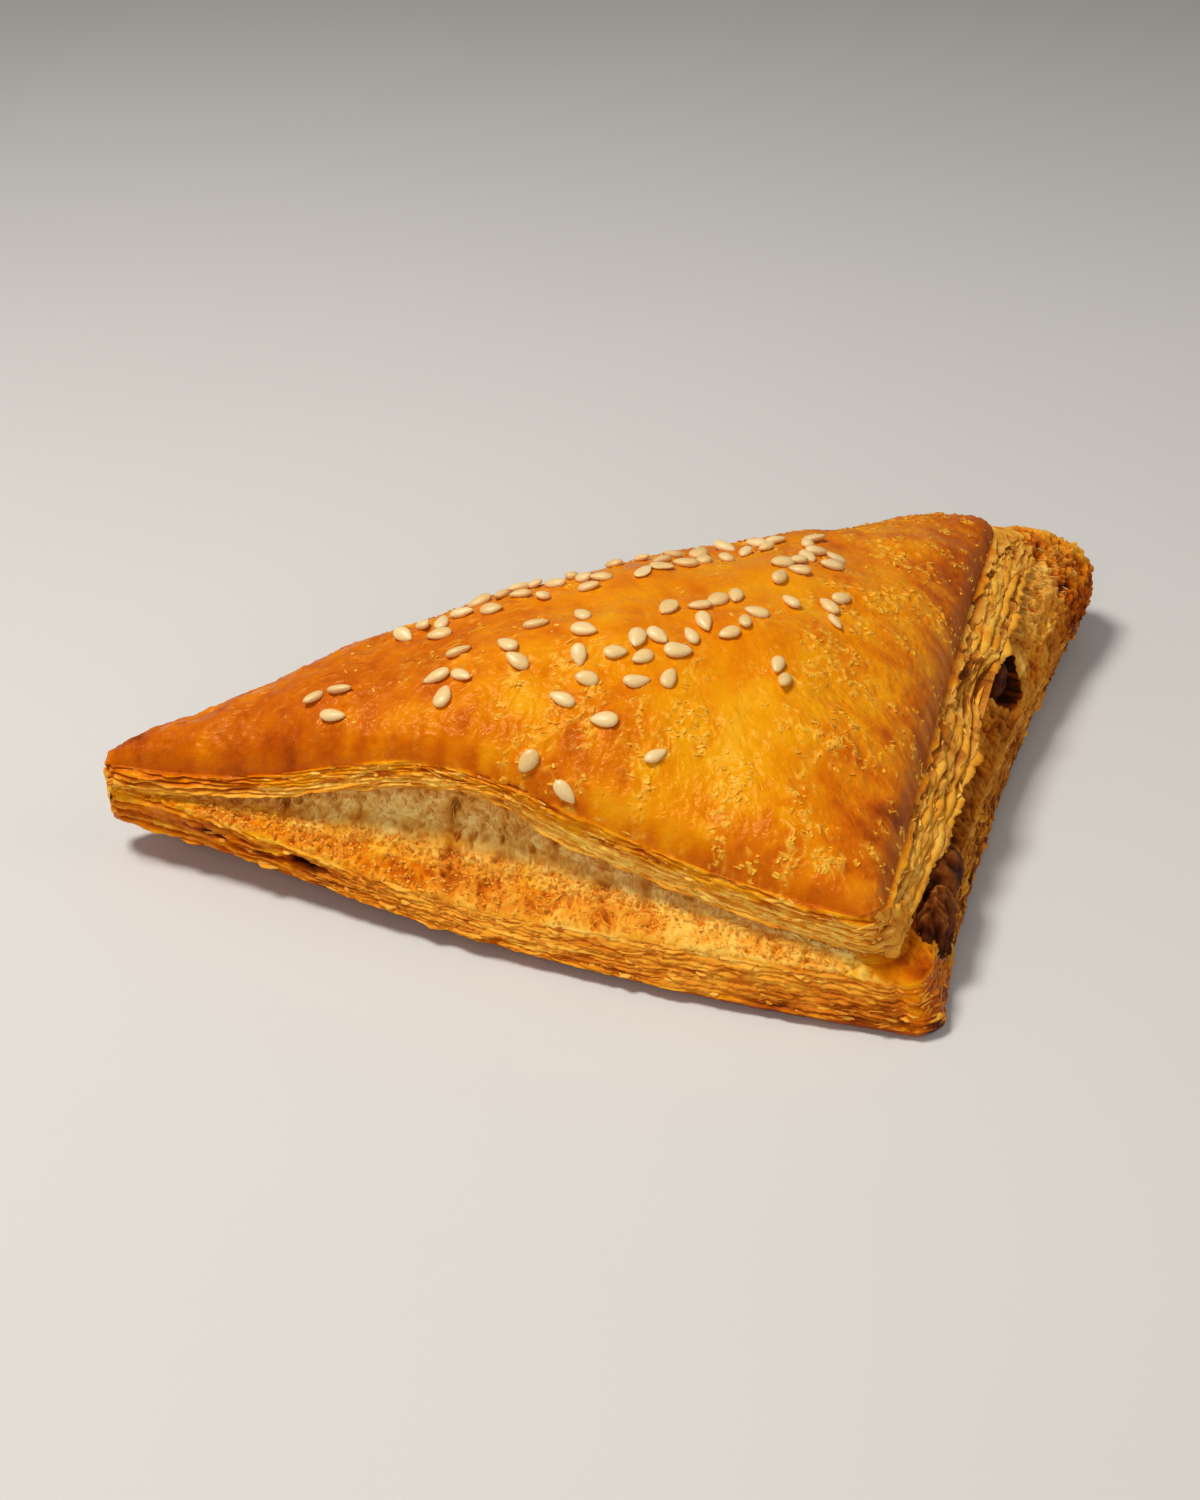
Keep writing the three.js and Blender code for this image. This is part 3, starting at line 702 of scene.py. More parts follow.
def downhill(points, across, down, seed):
    """Noise drawn out down the slope towards the nearest side."""
    place = points[..., :2]
    near = np.exp(-lip_distances(place) / 9)
    near /= near.sum(-1, keepdims=True)
    total = 0
    for side, (start, run) in enumerate(side_frames()):
        offset = place - start
        u = offset @ run
        w = offset @ np.array([-run[1], run[0]])
        local = np.stack([u, w * across / down, np.full_like(u, 9.3 * side)], -1)
        total = total + near[..., side] * noise(local, across, seed + side)
    return total


def top_rings():
    """The rings of the domed top: points, and how many of the lip's columns each keeps."""
    lip = ring("lip_top")[0]
    rings = []
    for k in range(1, TOP_RINGS):
        scale = 1 - (k / TOP_RINGS) ** TOP_PACE
        step = 1 if scale > 0.7 else 2 if scale > 0.35 else 5 if scale > 0.12 else 10
        kept = lip[::step]
        place = (kept[:, :2] - CREST_AT) * scale + CREST_AT
        height = top_height(place, kept[:, 2], scale)
        rings.append(np.column_stack([place, height]))
    return rings


def stitched(starts, counts):
    """Triangles and quads between closed rings of any number of points."""
    faces = []
    for level in range(1, len(starts)):
        lower, upper = counts[level - 1], counts[level]
        a, b = starts[level - 1], starts[level]
        if lower == upper:
            i = np.arange(lower)
            j = (i + 1) % lower
            faces += np.stack([a + i, a + j, b + j, b + i], -1).tolist()
            continue
        i = j = 0
        while i < lower or j < upper:
            under, over = a + i % lower, b + j % upper
            if j >= upper or (i < lower and i / lower <= j / upper):
                i += 1
                faces.append([under, a + i % lower, over])
            else:
                j += 1
                faces.append([under, b + j % upper, over])
    return faces


def closed_faces(rings, sides):
    """Faces of a closed lump: rings of points, and after them the first and the last end."""
    faces = stitched([sides * i for i in range(rings)], [sides] * rings)
    first, last = rings * sides, rings * sides + 1
    for i in range(sides):
        j = (i + 1) % sides
        faces += [[first, j, i], [last, first - sides + i, first - sides + j]]
    return faces


def turned_over(faces):
    return [face[::-1] for face in faces]


def point_normals(points, faces):
    """The mean direction of the faces round each point."""
    total = np.zeros_like(points)
    for size in (3, 4):
        some = np.array([face for face in faces if len(face) == size])
        if not len(some):
            continue
        corner = points[some]
        normal = np.cross(corner[:, 2] - corner[:, 0], corner[:, -1] - corner[:, 1])
        for i in range(size):
            np.add.at(total, some[:, i], normal)
    return total / np.maximum(np.linalg.norm(total, axis=1, keepdims=True), 1e-12)


def thin_lines(value, width):
    """1 on the lines where a noise crosses nought and 0 away from them."""
    return smooth(1 - np.abs(value) / width)


def spots_of(points):
    """Small browned hollows scattered on the crust."""
    spot = cells(points + 0.5 * noise(points, 2, 342)[..., None], 3.6, 343)
    return smooth(1.5 - spot / (0.75 + 0.4 * noise(points, 6, 344)))


def top_relief(points):
    """Height of the crust's own relief in millimetres, and the mask of flaked pale patches."""
    place = points[..., :2]
    sides = lip_distances(place)
    near = sides.min(-1)
    slope = smooth((25 - near) / 18)
    right = np.exp(-sides[..., 1] / 14)
    bent = points + 0.9 * np.stack([noise(points, 2.6, 305 + i) for i in range(3)], -1)
    broad = 0.34 * noise(points, 12, 301) + 0.2 * noise(points, 5.5, 302) + 0.12 * noise(points, 2.6, 303)
    plates = downhill(bent, 2.2, 4.2, 310)
    scales = downhill(bent, 0.95, 1.6, 320)
    busy = np.clip(0.2 + 0.8 * slope + 0.4 * right, 0, 1)
    zone = smooth(2.3 * downhill(points, 3.4, 11, 322) + 0.55) * smooth(2 * noise(points, 7, 323) + 1.1)
    folds = thin_lines(plates, 0.1) * smooth(2.4 * noise(bent, 1.9, 324) + 0.1)
    edges = thin_lines(scales, 0.16) * smooth(2.6 * noise(points, 1.6, 326))
    rough = 0.26 * noise(bent, 1.3, 328) + 0.12 * noise(bent, 0.6, 329)
    dot = cells(points, 3.1, 330)
    blister = 0.18 * smooth(1.15 - dot / 0.8) * smooth(noise(points, 6, 331) * 3)
    pit = cells(points, 2.1, 332)
    pits = -0.16 * smooth(1.2 - pit / 0.4) * smooth(noise(points, 7, 333) * 2.5 + 0.6)
    patch = smooth(5 * (noise(bent, 0.8, 350) - 0.2))
    left = 0.12 + 0.88 * smooth((place[..., 0] + 56) / 34)
    flaked = np.clip(0.6 * folds + 0.8 * edges + 0.9 * patch, 0, 1) * zone * busy * left
    relief = (broad + blister) * smooth(near / 2.5) + pits
    fine = 0.12 * folds + 0.12 * edges + 0.1 * patch + rough * (0.3 + 0.7 * zone)
    relief = relief + fine * busy * smooth(near / 0.8)
    grain = 0.05 * speckle(points, 0.9, 340) + 0.05 * ridged(noise(bent, 1.7, 341)) * busy
    return relief + grain - 0.12 * spots_of(points) * busy, flaked


# Where the crust browned more or less than its surroundings: place, reach along X and Y, amount.
TOASTED = (
    ((-46, -22), (24, 13), 0.1), ((-58, -24), (22, 6), 0.1), ((-36, -50), (12, 4), 0.16),
    ((-70, -13), (12, 7), 0.16), ((48, -12), (10, 6), 0.16), ((38, -26), (6, 8), 0.1),
    ((20, -46), (5, 9), 0.06), ((-8, -30), (26, 11), -0.1), ((-14, -56), (12, 7), -0.16),
    ((-10, -50), (13, 8), -0.12), ((0, -62), (8, 6), 0.1),
)
# Small brown spots, stated in the same way, and the browning above which the rest evens out.
SPOTS = (((-76, -9.6), (2.4, 2), 0.3), ((-3, -70), (3.4, 3), 0.16), ((2.5, -66.5), (2, 2), 0.26))
WELL_BAKED = 0.58


def top_glaze(points):
    """How glazed the top is: duller on the shoulder above the right-hand side."""
    return 1 - 0.75 * np.exp(-lip_distances(points[..., :2])[..., 1] / 2.5)


def top_toast(points):
    """How browned the top is, from 0 for pale yellow to 1 for burnt."""
    place = points[..., :2]
    near = lip_distances(place).min(-1)
    toast = 0.4 + 0.1 * np.exp(-near / 5) + 0.08 * np.exp(-near / 1.2)
    toast = toast + 0.12 * noise(points, 15, 401) + 0.12 * noise(points, 4.5, 402)
    toast = toast + 0.16 * downhill(points, 2.2, 4, 403) * (0.3 + np.exp(-near / 14))
    toast = toast + 0.1 * spots_of(points) * (0.4 + np.exp(-near / 14))
    toast = toast + spotted(place, TOASTED)
    toast = np.where(toast > WELL_BAKED, WELL_BAKED + 0.4 * (toast - WELL_BAKED), toast)
    return toast + spotted(place, SPOTS)


def side_toast_and_shade(rows, bands, crest, cut, along, place):
    """How browned each point of the side is, with painted shade in leaf gaps, the gap's hollows, under
    the lip, in pores and in the tear.
    """
    share = np.clip(sheet_share(rows), 0, 1)
    run = np.broadcast_to(run_round(), share.shape)
    toast = np.full(rows.shape[:2], 0.4)
    sheet = bands == "rim"
    streaks = drawn_out(run, rows[..., 2], 6, 0.8, 415)
    # Painted shade: the gaps between the sheet's leaves are coloured darker than their crests.
    leaf_gap_shade = 0.38 - 0.08 * smooth((along[None] - 0.5) * 5) * (along < 1)
    toast[sheet] = 0.38 - 0.12 * smooth(share[sheet] * 3 - 2) + leaf_gap_shade * (0.7 - crest[sheet])
    toast[sheet] += 0.2 * streaks[sheet]
    lip = bands == "lip_top"
    # Painted shade: the gaps between the lip's leaves are coloured darker than their crests; the lip is
    # also browner towards A.
    toast[lip] = 0.2 + 0.66 * (0.72 - crest[lip]) + 0.07 * smooth((0.4 - along) * 6) * (along < 1)
    toast[np.isin(bands, ("flat", "sole", "foot"))] = 0.66
    for band, base in (("ledge", 0.49), ("wall", 0.31), ("seal", 0.27), ("lip_low", 0.26)):
        toast[bands == band] = base
    inner = np.isin(bands, GAP_BANDS)
    # Painted shade: the hollows and creases of the gap's wall are coloured darker as its relief sinks.
    hollow_shade = 0.55 - crest[inner]
    toast[inner] += np.minimum(0.6 * hollow_shade, 0.1 + 0.25 * hollow_shade)
    place = place[:, None]
    # Painted shade: the top of the gap's wall, under the lip's overhang, is coloured darker.
    toast += 0.14 * smooth((place - 2.5) / 0.45) * (along < 1)
    paler = smooth((along - 0.58) * 4) * smooth((0.985 - along) * 30)
    toast -= 0.25 * paler * inner[:, None]
    low_lip = (ring("lip_top")[0][:, 2] - rows[..., 2]) / 5
    toast -= 0.08 * paler * lip[:, None] * np.clip(low_lip, 0.3, 1)
    toast -= 0.08 * paler * sheet[:, None] * smooth(share * 3 - 1.4)
    toast -= 0.1 * smooth(1 - place / 0.45) * (place > 0) * (along < 1)
    toast += 0.1 * noise(rows, 12, 410) + 0.12 * noise(rows, 3.2, 411)
    lines = ridged(drawn_out(run, rows[..., 2], 5, 0.8, 416))
    pit = cells(rows, 2.2, 417)
    pitted = smooth(1.3 - pit / 0.45) * smooth(noise(rows, 6, 418) * 3 + 0.6)
    right = right_share(along)[None]
    toast += (0.2 + 0.1 * noise(rows, 2.2, 413) - 0.06 * lines + 0.25 * pitted) * right
    front_left = smooth((0.42 - along) * 5) * (along < 1)
    toast += 0.07 * front_left[None] * sheet[:, None] * (0.7 + 1.2 * streaks)
    toast[sheet] += scorch(along, share[sheet])[1]
    shaded = smooth((along - 0.8) * 8) * (along < 1) + right_share(along)
    toast[sheet] += 0.14 * np.minimum(shaded, 1) * smooth(1.3 - 1.8 * share[sheet])
    lump = porous_share(rows)
    # The lump at C is browned more; its pores are coloured darker still as painted shade.
    toast += lump * (0.14 + 0.5 * pores(rows))
    # Painted shade: the inside of the tear is coloured dark, darkest towards its top.
    toast += (0.78 + 0.22 * np.clip((rows[..., 2] - 12.4) / 1.2, -1, 1)) * torn_share(rows)
    fold = 0.46 + 0.16 * noise(rows, 13, 412) + 0.12 * noise(rows, 4, 413)
    low = np.clip((9 - rows[..., 2]) / 9, 0, 1)
    return toast * cut + (fold + 0.15 * low) * (1 - cut)


# How far down the lip's cut edge the egg wash ran: places round the pastry from A, and the
# share of the edge's height above which it is glazed.
RUN_AT = (0.0, 0.1, 0.16, 0.22, 0.3, 0.34, 0.4, 0.46, 0.52, 0.58, 0.64, 0.7, 0.85, 1.0)
RUN_DOWN = (0.56, 0.5, 0.48, 0.42, 0.4, 0.46, 0.48, 0.4, 0.32, 0.34, 0.42, 0.52, 0.56, 0.95)


def side_glaze(rows, bands, cut, along, torn):
    """How much egg wash ran over each point of the side."""
    glaze = np.zeros(rows.shape[:2])
    low, high = ring("lip_low")[0][:, 2], ring("lip_top")[0][:, 2]
    share = (rows[..., 2] - low) / (high - low)
    front = (along < 1).astype(float)
    run = np.interp(along, RUN_AT, RUN_DOWN) * front + 0.93 * (1 - front)
    lip = bands == "lip_top"
    glaze[lip] = smooth((share[lip] - run + 0.3 * noise(rows[lip], 3.5, 420)) * 5 + 0.4)
    near_b = smooth((along - 0.965) * 50) * smooth((1.16 - along) * 12)
    patchy = smooth(near_b[None] * 1.7 - 0.35 + 0.7 * noise(rows, 3.5, 421))
    glaze = np.maximum(glaze, 0.9 * patchy * np.isin(bands, ("rim", "ledge", "wall"))[:, None])
    left = smooth((0.55 - along) * 4) * front
    washed = smooth(2 * noise(rows, 5, 422) + 1.1 * left - 0.35)
    inside = np.isin(bands, GAP_BANDS)[:, None]
    glaze = np.maximum(glaze, 0.75 * washed * inside * (1 - torn))
    low_left = smooth((0.42 - along) * 5) * front * (bands == "rim")[:, None]
    glaze = np.maximum(glaze, low_left * smooth(2 * noise(rows, 2.5, 425) + 1.0))
    right = right_share(along)[None]
    glaze = np.maximum(glaze, 0.45 * right * inside * smooth(1.5 * noise(rows, 6, 424) + 0.6))
    glaze = np.maximum(glaze, 0.75 * porous_share(rows))
    glaze = np.maximum(glaze, 0.8 * torn_share(rows))
    above = (rows[..., 2] - ring("foot")[0][:, 2]) / 6
    sole = smooth((0.14 - above + 0.12 * noise(rows, 3, 423)) * 9)
    glaze = np.maximum(glaze, 0.75 * sole)
    return np.maximum(glaze, 1 - cut)


def side_torn(bands, along, torn):
    """How beige the bare dough of each point of the side is."""
    bare = np.isin(bands, ("rim", *GAP_BANDS, "lip_low", "lip_top"))[:, None]
    return np.maximum(torn, 0.6 * right_share(along)[None] * bare)


def dough():
    """The folded dough: points, faces by piece, what the material reads, and the side's bands."""
    rows, bands = side_bands()
    _, along, out = ring("flat")
    torn, place = torn_dough(rows, bands)
    moved, crest, cut = side_relief(rows, bands, along, out, torn)
    toast = side_toast_and_shade(rows, bands, crest, cut, along, place)
    columns = rows.shape[1]
    rings = top_rings()
    crown = np.concatenate(rings + [np.array([[*CREST_AT, CREST_HEIGHT]])])
    relief, flaked = top_relief(crown)
    crown_moved = crown + UP * relief[:, None]
    points = np.concatenate([moved.reshape(-1, 3), crown_moved])
    side = rows.shape[0] * columns
    glaze = side_glaze(rows, bands, cut, along, torn)
    washed = (bands == "lip_top")[:, None] * cut * (along < 1) * glaze
    toast = toast + 0.2 * washed
    reads = {
        "toast": np.concatenate([toast.ravel(), top_toast(crown)]),
        "glaze": np.concatenate([glaze.ravel(), top_glaze(crown)]),
        "torn": np.concatenate([side_torn(bands, along, torn).ravel(), np.zeros(len(crown))]),
        "flaked": np.concatenate([np.zeros(side), flaked]),
    }
    edges = {"sheet": ("flat", "rim"), "gap": ("rim", "seal"), "lip": ("seal", "lip_top")}
    pieces = {}
    for name, ends in edges.items():
        low, high = (np.where(bands == band)[0][-1] for band in ends)
        starts = [row * columns for row in range(low, high + 1)]
        pieces[name] = stitched(starts, [columns] * len(starts))
    counts = [columns] + [len(points_of) for points_of in rings]
    starts = [side - columns] + list(side + np.cumsum([0] + counts[1:-1]))
    end = len(points) - 1
    last = range(counts[-1])
    fan = [[starts[-1] + i, starts[-1] + (i + 1) % counts[-1], end] for i in last]
    pieces["top"] = stitched(starts, counts) + fan
    under = len(points)
    points = np.concatenate([points, [SOLE_MIDDLE]])
    for key, value in same_reads(np.array([0.6])).items():
        reads[key] = np.append(reads[key], value)
    pieces["sheet"] += [[under, (i + 1) % columns, i] for i in range(columns)]
    return points, pieces, reads, bands


def linear(red, green, blue):
    """A colour given as 0 to 255 on the screen, as the shader's linear numbers."""
    def one(value):
        value = value / 255
        return value / 12.92 if value <= 0.04045 else ((value + 0.055) / 1.055) ** 2.4

    return (one(red), one(green), one(blue), 1)


# Colours as stops of a ramp: the glazed crust, the bare crumb and torn dough, each from pale to
# burnt, the seeds, the mushrooms and the floor; and one colour for flaked patches.
GLAZED = (
    (0.0, (246, 182, 44)), (0.2, (238, 158, 10)), (0.38, (230, 134, 4)), (0.54, (212, 106, 3)),
    (0.7, (182, 76, 5)), (0.85, (118, 44, 6)), (1.0, (48, 18, 5)),
)
CRUMB = (
    (0.0, (252, 204, 92)), (0.22, (242, 168, 50)), (0.42, (218, 124, 28)), (0.6, (172, 84, 16)),
    (0.78, (114, 52, 10)), (1.0, (42, 16, 6)),
)
TORN = (
    (0.0, (252, 220, 136)), (0.22, (236, 184, 88)), (0.42, (206, 142, 54)), (0.6, (160, 94, 28)),
    (0.78, (104, 52, 14)), (1.0, (42, 18, 6)),
)
SESAME = ((0.0, (248, 222, 168)), (0.45, (238, 202, 136)), (0.75, (218, 166, 88)), (1.0, (184, 122, 54)))
MUSHROOM = (
    (0.0, (22, 7, 3)), (0.35, (58, 22, 7)), (0.6, (96, 44, 15)), (0.85, (136, 74, 30)),
    (1.0, (172, 110, 58)),
)
FLOOR = ((0.0, (214, 212, 209)), (1.0, (221, 219, 216)))
FLAKED = (248, 190, 62)
SHEEN_TINT = (1.0, 0.55, 0.18, 1.0)


class Nodes:
    """A small helper that adds and joins the nodes of one material."""

    def __init__(self, name):
        self.material = bpy.data.materials.new(name)
        self.material.use_nodes = True
        self.tree = self.material.node_tree
        self.shader = self.tree.nodes["Principled BSDF"]

    def add(self, kind, **settings):
        node = self.tree.nodes.new(kind)
        for key, value in settings.items():
            setattr(node, key, value)
        return node

    def join(self, source, target):
        self.tree.links.new(source, target)

    def read(self, name):
        return self.add("ShaderNodeAttribute", attribute_name=name).outputs["Fac"]

    def feed(self, socket, value):
        if isinstance(value, (int, float, tuple)):
            socket.default_value = value
        else:
            self.join(value, socket)

    def shine(self, **settings):
        """Sets the shader's own sockets, named with underscores, to plain values or sources."""
        for key, value in settings.items():
            self.feed(self.shader.inputs[key.replace("_", " ")], value)

    def math(self, operation, *values):
        node = self.add("ShaderNodeMath", operation=operation)
        for socket, value in zip(node.inputs, values):
            self.feed(socket, value)
        return node.outputs[0]

    def scaled(self, value, scale, start):
        return self.math("MULTIPLY_ADD", value, scale, start)

    def noise(self, scale, detail=3.0, rough=0.55):
        place = self.add("ShaderNodeTexCoord").outputs["Object"]
        node = self.add("ShaderNodeTexNoise")
        node.inputs["Scale"].default_value = scale
        node.inputs["Detail"].default_value = detail
        node.inputs["Roughness"].default_value = rough
        self.join(place, node.inputs["Vector"])
        return node.outputs["Fac"]

    def ramp(self, value, stops):
        node = self.add("ShaderNodeValToRGB")
        elements = node.color_ramp.elements
        while len(elements) > 1:
            elements.remove(elements[-1])
        for i, (at, colour) in enumerate(stops):
            element = elements[0] if i == 0 else elements.new(at)
            element.position = at
            element.color = linear(*colour)
        self.join(value, node.inputs["Fac"])
        return node.outputs["Color"]

    def mix(self, share, first, second):
        node = self.add("ShaderNodeMix", data_type="RGBA")
        for socket, value in ((0, share), (6, first), (7, second)):
            self.feed(node.inputs[socket], value)
        return node.outputs[2]

    def bump(self, height, distance, strength=1.0):
        node = self.add("ShaderNodeBump")
        node.inputs["Distance"].default_value = distance * MM
        node.inputs["Strength"].default_value = strength
        self.join(height, node.inputs["Height"])
        self.join(node.outputs["Normal"], self.shader.inputs["Normal"])


def dough_material(name, shine):
    """Baked dough: glazed crust and bare crumb, browned as the mesh's own numbers say, which on the side
    also hold painted shade.
    """
    nodes = Nodes(name)
    fine = nodes.noise(900, 4, 0.6)
    broad = nodes.math("MULTIPLY", nodes.noise(260, 3), 0.22)
    wander = nodes.math("ADD", nodes.scaled(fine, 0.2, -0.21), broad)
    toast = nodes.math("ADD", nodes.read("toast"), wander)
    crumb = nodes.mix(nodes.read("torn"), nodes.ramp(toast, CRUMB), nodes.ramp(toast, TORN))
    paler = nodes.scaled(toast, -1.3, 1.45)
    paler.node.use_clamp = True
    flaked = nodes.math("MULTIPLY", nodes.read("flaked"), paler)
    crust = nodes.mix(flaked, nodes.ramp(toast, GLAZED), linear(*FLAKED))
    glaze = nodes.read("glaze")
    uneven = nodes.math("MULTIPLY", nodes.noise(420, 3), 0.22)
    rough = nodes.math("ADD", nodes.scaled(glaze, -0.62, 0.75), uneven)
    nodes.shine(Base_Color=nodes.mix(glaze, crumb, crust), Roughness=rough)
    nodes.shine(Specular_IOR_Level=shine, Specular_Tint=SHEEN_TINT)
    nodes.bump(nodes.math("ADD", fine, nodes.noise(2400, 2)), 0.14, 0.7)
    return nodes.material


def add_part_of_dough(name, points, faces, reads, normals, material):
    """One piece of the dough with only its own points."""
    used = np.unique(np.concatenate([np.ravel(face) for face in faces]))
    place = np.full(len(points), -1)
    place[used] = np.arange(len(used))
    own = [[int(place[i]) for i in face] for face in faces]
    values = {key: value[used] for key, value in reads.items()}
    add_piece(name, points[used], own, values, material, normals=normals[used])


def dress_dough():
    """The dough and what is scattered on it; gives its points and faces back for the seeds."""
    points, pieces, reads, bands = dough()
    normals = point_normals(points, [face for faces in pieces.values() for face in faces])
    edge = dough_material("cut_dough", 0.2)
    finishes = {"top": dough_material("glazed_crust", 0.22), "gap": dough_material("torn_dough", 0.05)}
    for name, faces in pieces.items():
        add_part_of_dough("pastry_" + name, points, faces, reads, normals, finishes.get(name, edge))
    columns = len(run_round())
    side = len(bands) * columns
    dress_threads(points, normals, bands, columns)
    dress_flecks(points[side:-1], normals[side:-1], reads["flaked"][side:-1])
    dress_chips(points, normals, bands, columns)
    return points, pieces


# Thin leaves that stand out of the cut edges: the levels they lie between and at which shares
# of the height, where they start and end round the pastry, how much longer the long ones are,
# their least and further reach in mm, how far they droop and how far apart they start.
LEAF_RUNS = (
    {
        "levels": ("foot", "rim"), "shares": (0.1, 0.2, 0.3, 0.4, 0.5, 0.6, 0.7, 0.8, 0.9, 0.97),
        "from": 0.2, "to": 1.9, "longer": 0.06, "reach": (0.3, 0.5), "droop": 0.1, "apart": 0.12,
    },
    {
        "levels": ("lip_low", "lip_top"), "shares": (0.1, 0.22, 0.34, 0.46, 0.58, 0.7, 0.82),
        "from": 0.24, "to": 0.96, "longer": 0.07, "reach": (0.22, 0.35), "droop": 0.12, "apart": 0.09,
    },
)
# The long leaf of the lip's lower border, as leaf_plans states it, and the fan's leaves.
BORDER_LEAF = ("lip_low", "lip_top", 0.03, 0.03, 0.99, 0.5, 0.3)
FAN_SHARES = (0.02, 0.24, 0.46, 0.68)
LEAF_THICKNESS, LEAF_ROOT = 0.24, 0.9
# Browning round a leaf's section: underside from root to tip, then the upper side back.
LEAF_BROWNING = (0.46, 0.34, 0.32, 0.24, 0.2, 0.3)


def sheet_leaf_shows(share, start, end):
    """Tells if a leaf lies clear of the scorched holes and of the mushrooms beside B."""
    scorched = start < 0.3 and end > 0.25 and 0.25 < share < 0.75
    return not scorched and (share < 0.45 or end < 0.98 or start > 1.2)


def leaf_plans():
    """Every leaf as (lower level, upper level, share, start, end, reach, droop)."""
    plans = []
    order = 5001
    for leaves in LEAF_RUNS:
        for share in leaves["shares"]:
            at = leaves["from"] + 0.06 * draw(order)
            while at < leaves["to"]:
                end = at + 0.015 + leaves["longer"] * draw(order + 1) ** 2
                reach = leaves["reach"][0] + leaves["reach"][1] * draw(order + 2)
                if leaves["levels"][0] != "foot" or sheet_leaf_shows(share, at, end):
                    plans.append((*leaves["levels"], share, at, end, reach, leaves["droop"]))
                at = end + 0.02 + leaves["apart"] * draw(order + 3)
                order += 4
    plans.append(BORDER_LEAF)
    for share in FAN_SHARES:
        start = 0.99 + 0.05 * draw(order) + (0.14 if share < 0.1 else 0)
        plans.append(("lip_low", "lip_top", share, start, 1.97, 1.2 - 0.5 * share, 0.45))
        order += 1
    return plans


def leaf_shell(lower, upper, share, start, end, reach, droop, seed):
    """One thin leaf as points, faces and its browning."""
    low, along, out = ring(lower)
    high = ring(upper)[0]
    mine = (along > start) & (along < end)
    base = (low + share * (high - low))[mine]
    out = out[mine]
    place = (along[mine] - start) / (end - start)
    taper = 3 if end - start < 0.1 else 10
    window = smooth(place * taper) * smooth((1 - place) * taper)
    base = base + UP * (0.35 * noise(base, 6, seed) + 0.1 * noise(base, 1.5, seed + 1))[:, None]
    rag = 0.25 if end - start > 0.9 and start > 0.9 else 1.0
    ragged = 0.75 + 0.7 * noise(base, 5, seed + 2)
    ragged = ragged + rag * (0.45 * noise(base, 1.3, seed + 3) + 0.25 * noise(base, 0.5, seed + 4))
    notch = notched(along[mine])
    stands = reach * np.clip(ragged, 0, 2) * window * (1 - 0.9 * notch) - NOTCH["depth"] * notch
    curl = (0.3 * noise(base, 3, seed + 5) - droop)[:, None] * UP
    half = LEAF_THICKNESS / 2 * (0.8 + 0.5 * noise(base, 2.5, seed + 6))[:, None] * UP
    root = base - out * LEAF_ROOT
    middle = base + out * (0.55 * stands)[:, None] + curl * 0.3
    tip = base + out * stands[:, None] + curl
    edge = half * 0.45
    section = np.stack([root - half, middle - half, tip - edge, tip + edge, middle + half, root + half])
    sides, count = section.shape[:2]
    points = section.transpose(1, 0, 2).reshape(-1, 3)
    faces = turned_over(tube_faces(1, count, sides))
    brown = np.tile(LEAF_BROWNING, count)
    return points, faces, brown + 0.16 * noise(points, 4, seed + 7) + 0.1 * noise(points, 1.2, seed + 8)


def merged(parts):
    """Several (points, faces, number per point) as one."""
    points, faces, values = [], [], []
    for own, own_faces, own_values in parts:
        start = sum(len(some) for some in points)
        points.append(own)
        values.append(own_values)
        faces += [[start + i for i in face] for face in own_faces]
    return np.concatenate(points), faces, np.concatenate(values)


MUSHROOM_STATIONS, MUSHROOM_SIDES = 80, 110
# A piece thinner than this, in mm to either side, is a slice whose gills show.
SLICE_HALF = 2


def mushroom(at, half, turn, lean, seed, wrinkled=1.0):
    """A cooked piece of mushroom: a wrinkled rounded lump."""
    fall = np.linspace(0, math.pi, MUSHROOM_STATIONS + 2)[1:-1]
    angle = np.linspace(0, 2 * math.pi, MUSHROOM_SIDES, endpoint=False)
    ball = np.stack([
        np.outer(np.sin(fall), np.cos(angle)), np.outer(np.sin(fall), np.sin(angle)),
        np.repeat(np.cos(fall)[:, None], MUSHROOM_SIDES, axis=1),
    ], -1).reshape(-1, 3)
    ball = np.concatenate([ball, [[0, 0, 1], [0, 0, -1]]])
    points = ball * np.array(half)
    points[:, 1:] = turned(points[:, 1:], lean)
    points[:, :2] = turned(points[:, :2], turn)
    ball[:, :2] = turned(ball[:, :2], turn)
    points = points + np.array(at)
    def upright(share):
        return points * np.array([1, 1, share])

    wrinkle = 0.45 * noise(points, 3.2, seed) + 0.07 * noise(points, 0.6, seed + 2)
    wrinkle = wrinkle + 0.2 * (1 - 3 * np.abs(noise(upright(0.4), 1.5, seed + 1)))
    wrinkle = wrinkle + 0.09 * ridged(noise(upright(0.22), 0.8, seed + 6))
    if min(half) < SLICE_HALF:
        bent = upright(0.3) + 0.6 * noise(points, 2.2, seed + 5)[:, None]
        wrinkle = wrinkle + 0.26 * ridged(noise(bent, 1.1, seed + 4))
    points = points + ball * wrinkle[:, None] * wrinkled
    faces = turned_over(closed_faces(MUSHROOM_STATIONS, MUSHROOM_SIDES))
    return points, faces, 0.46 + 0.6 * wrinkle + 0.3 * noise(points, 2.5, seed + 3)


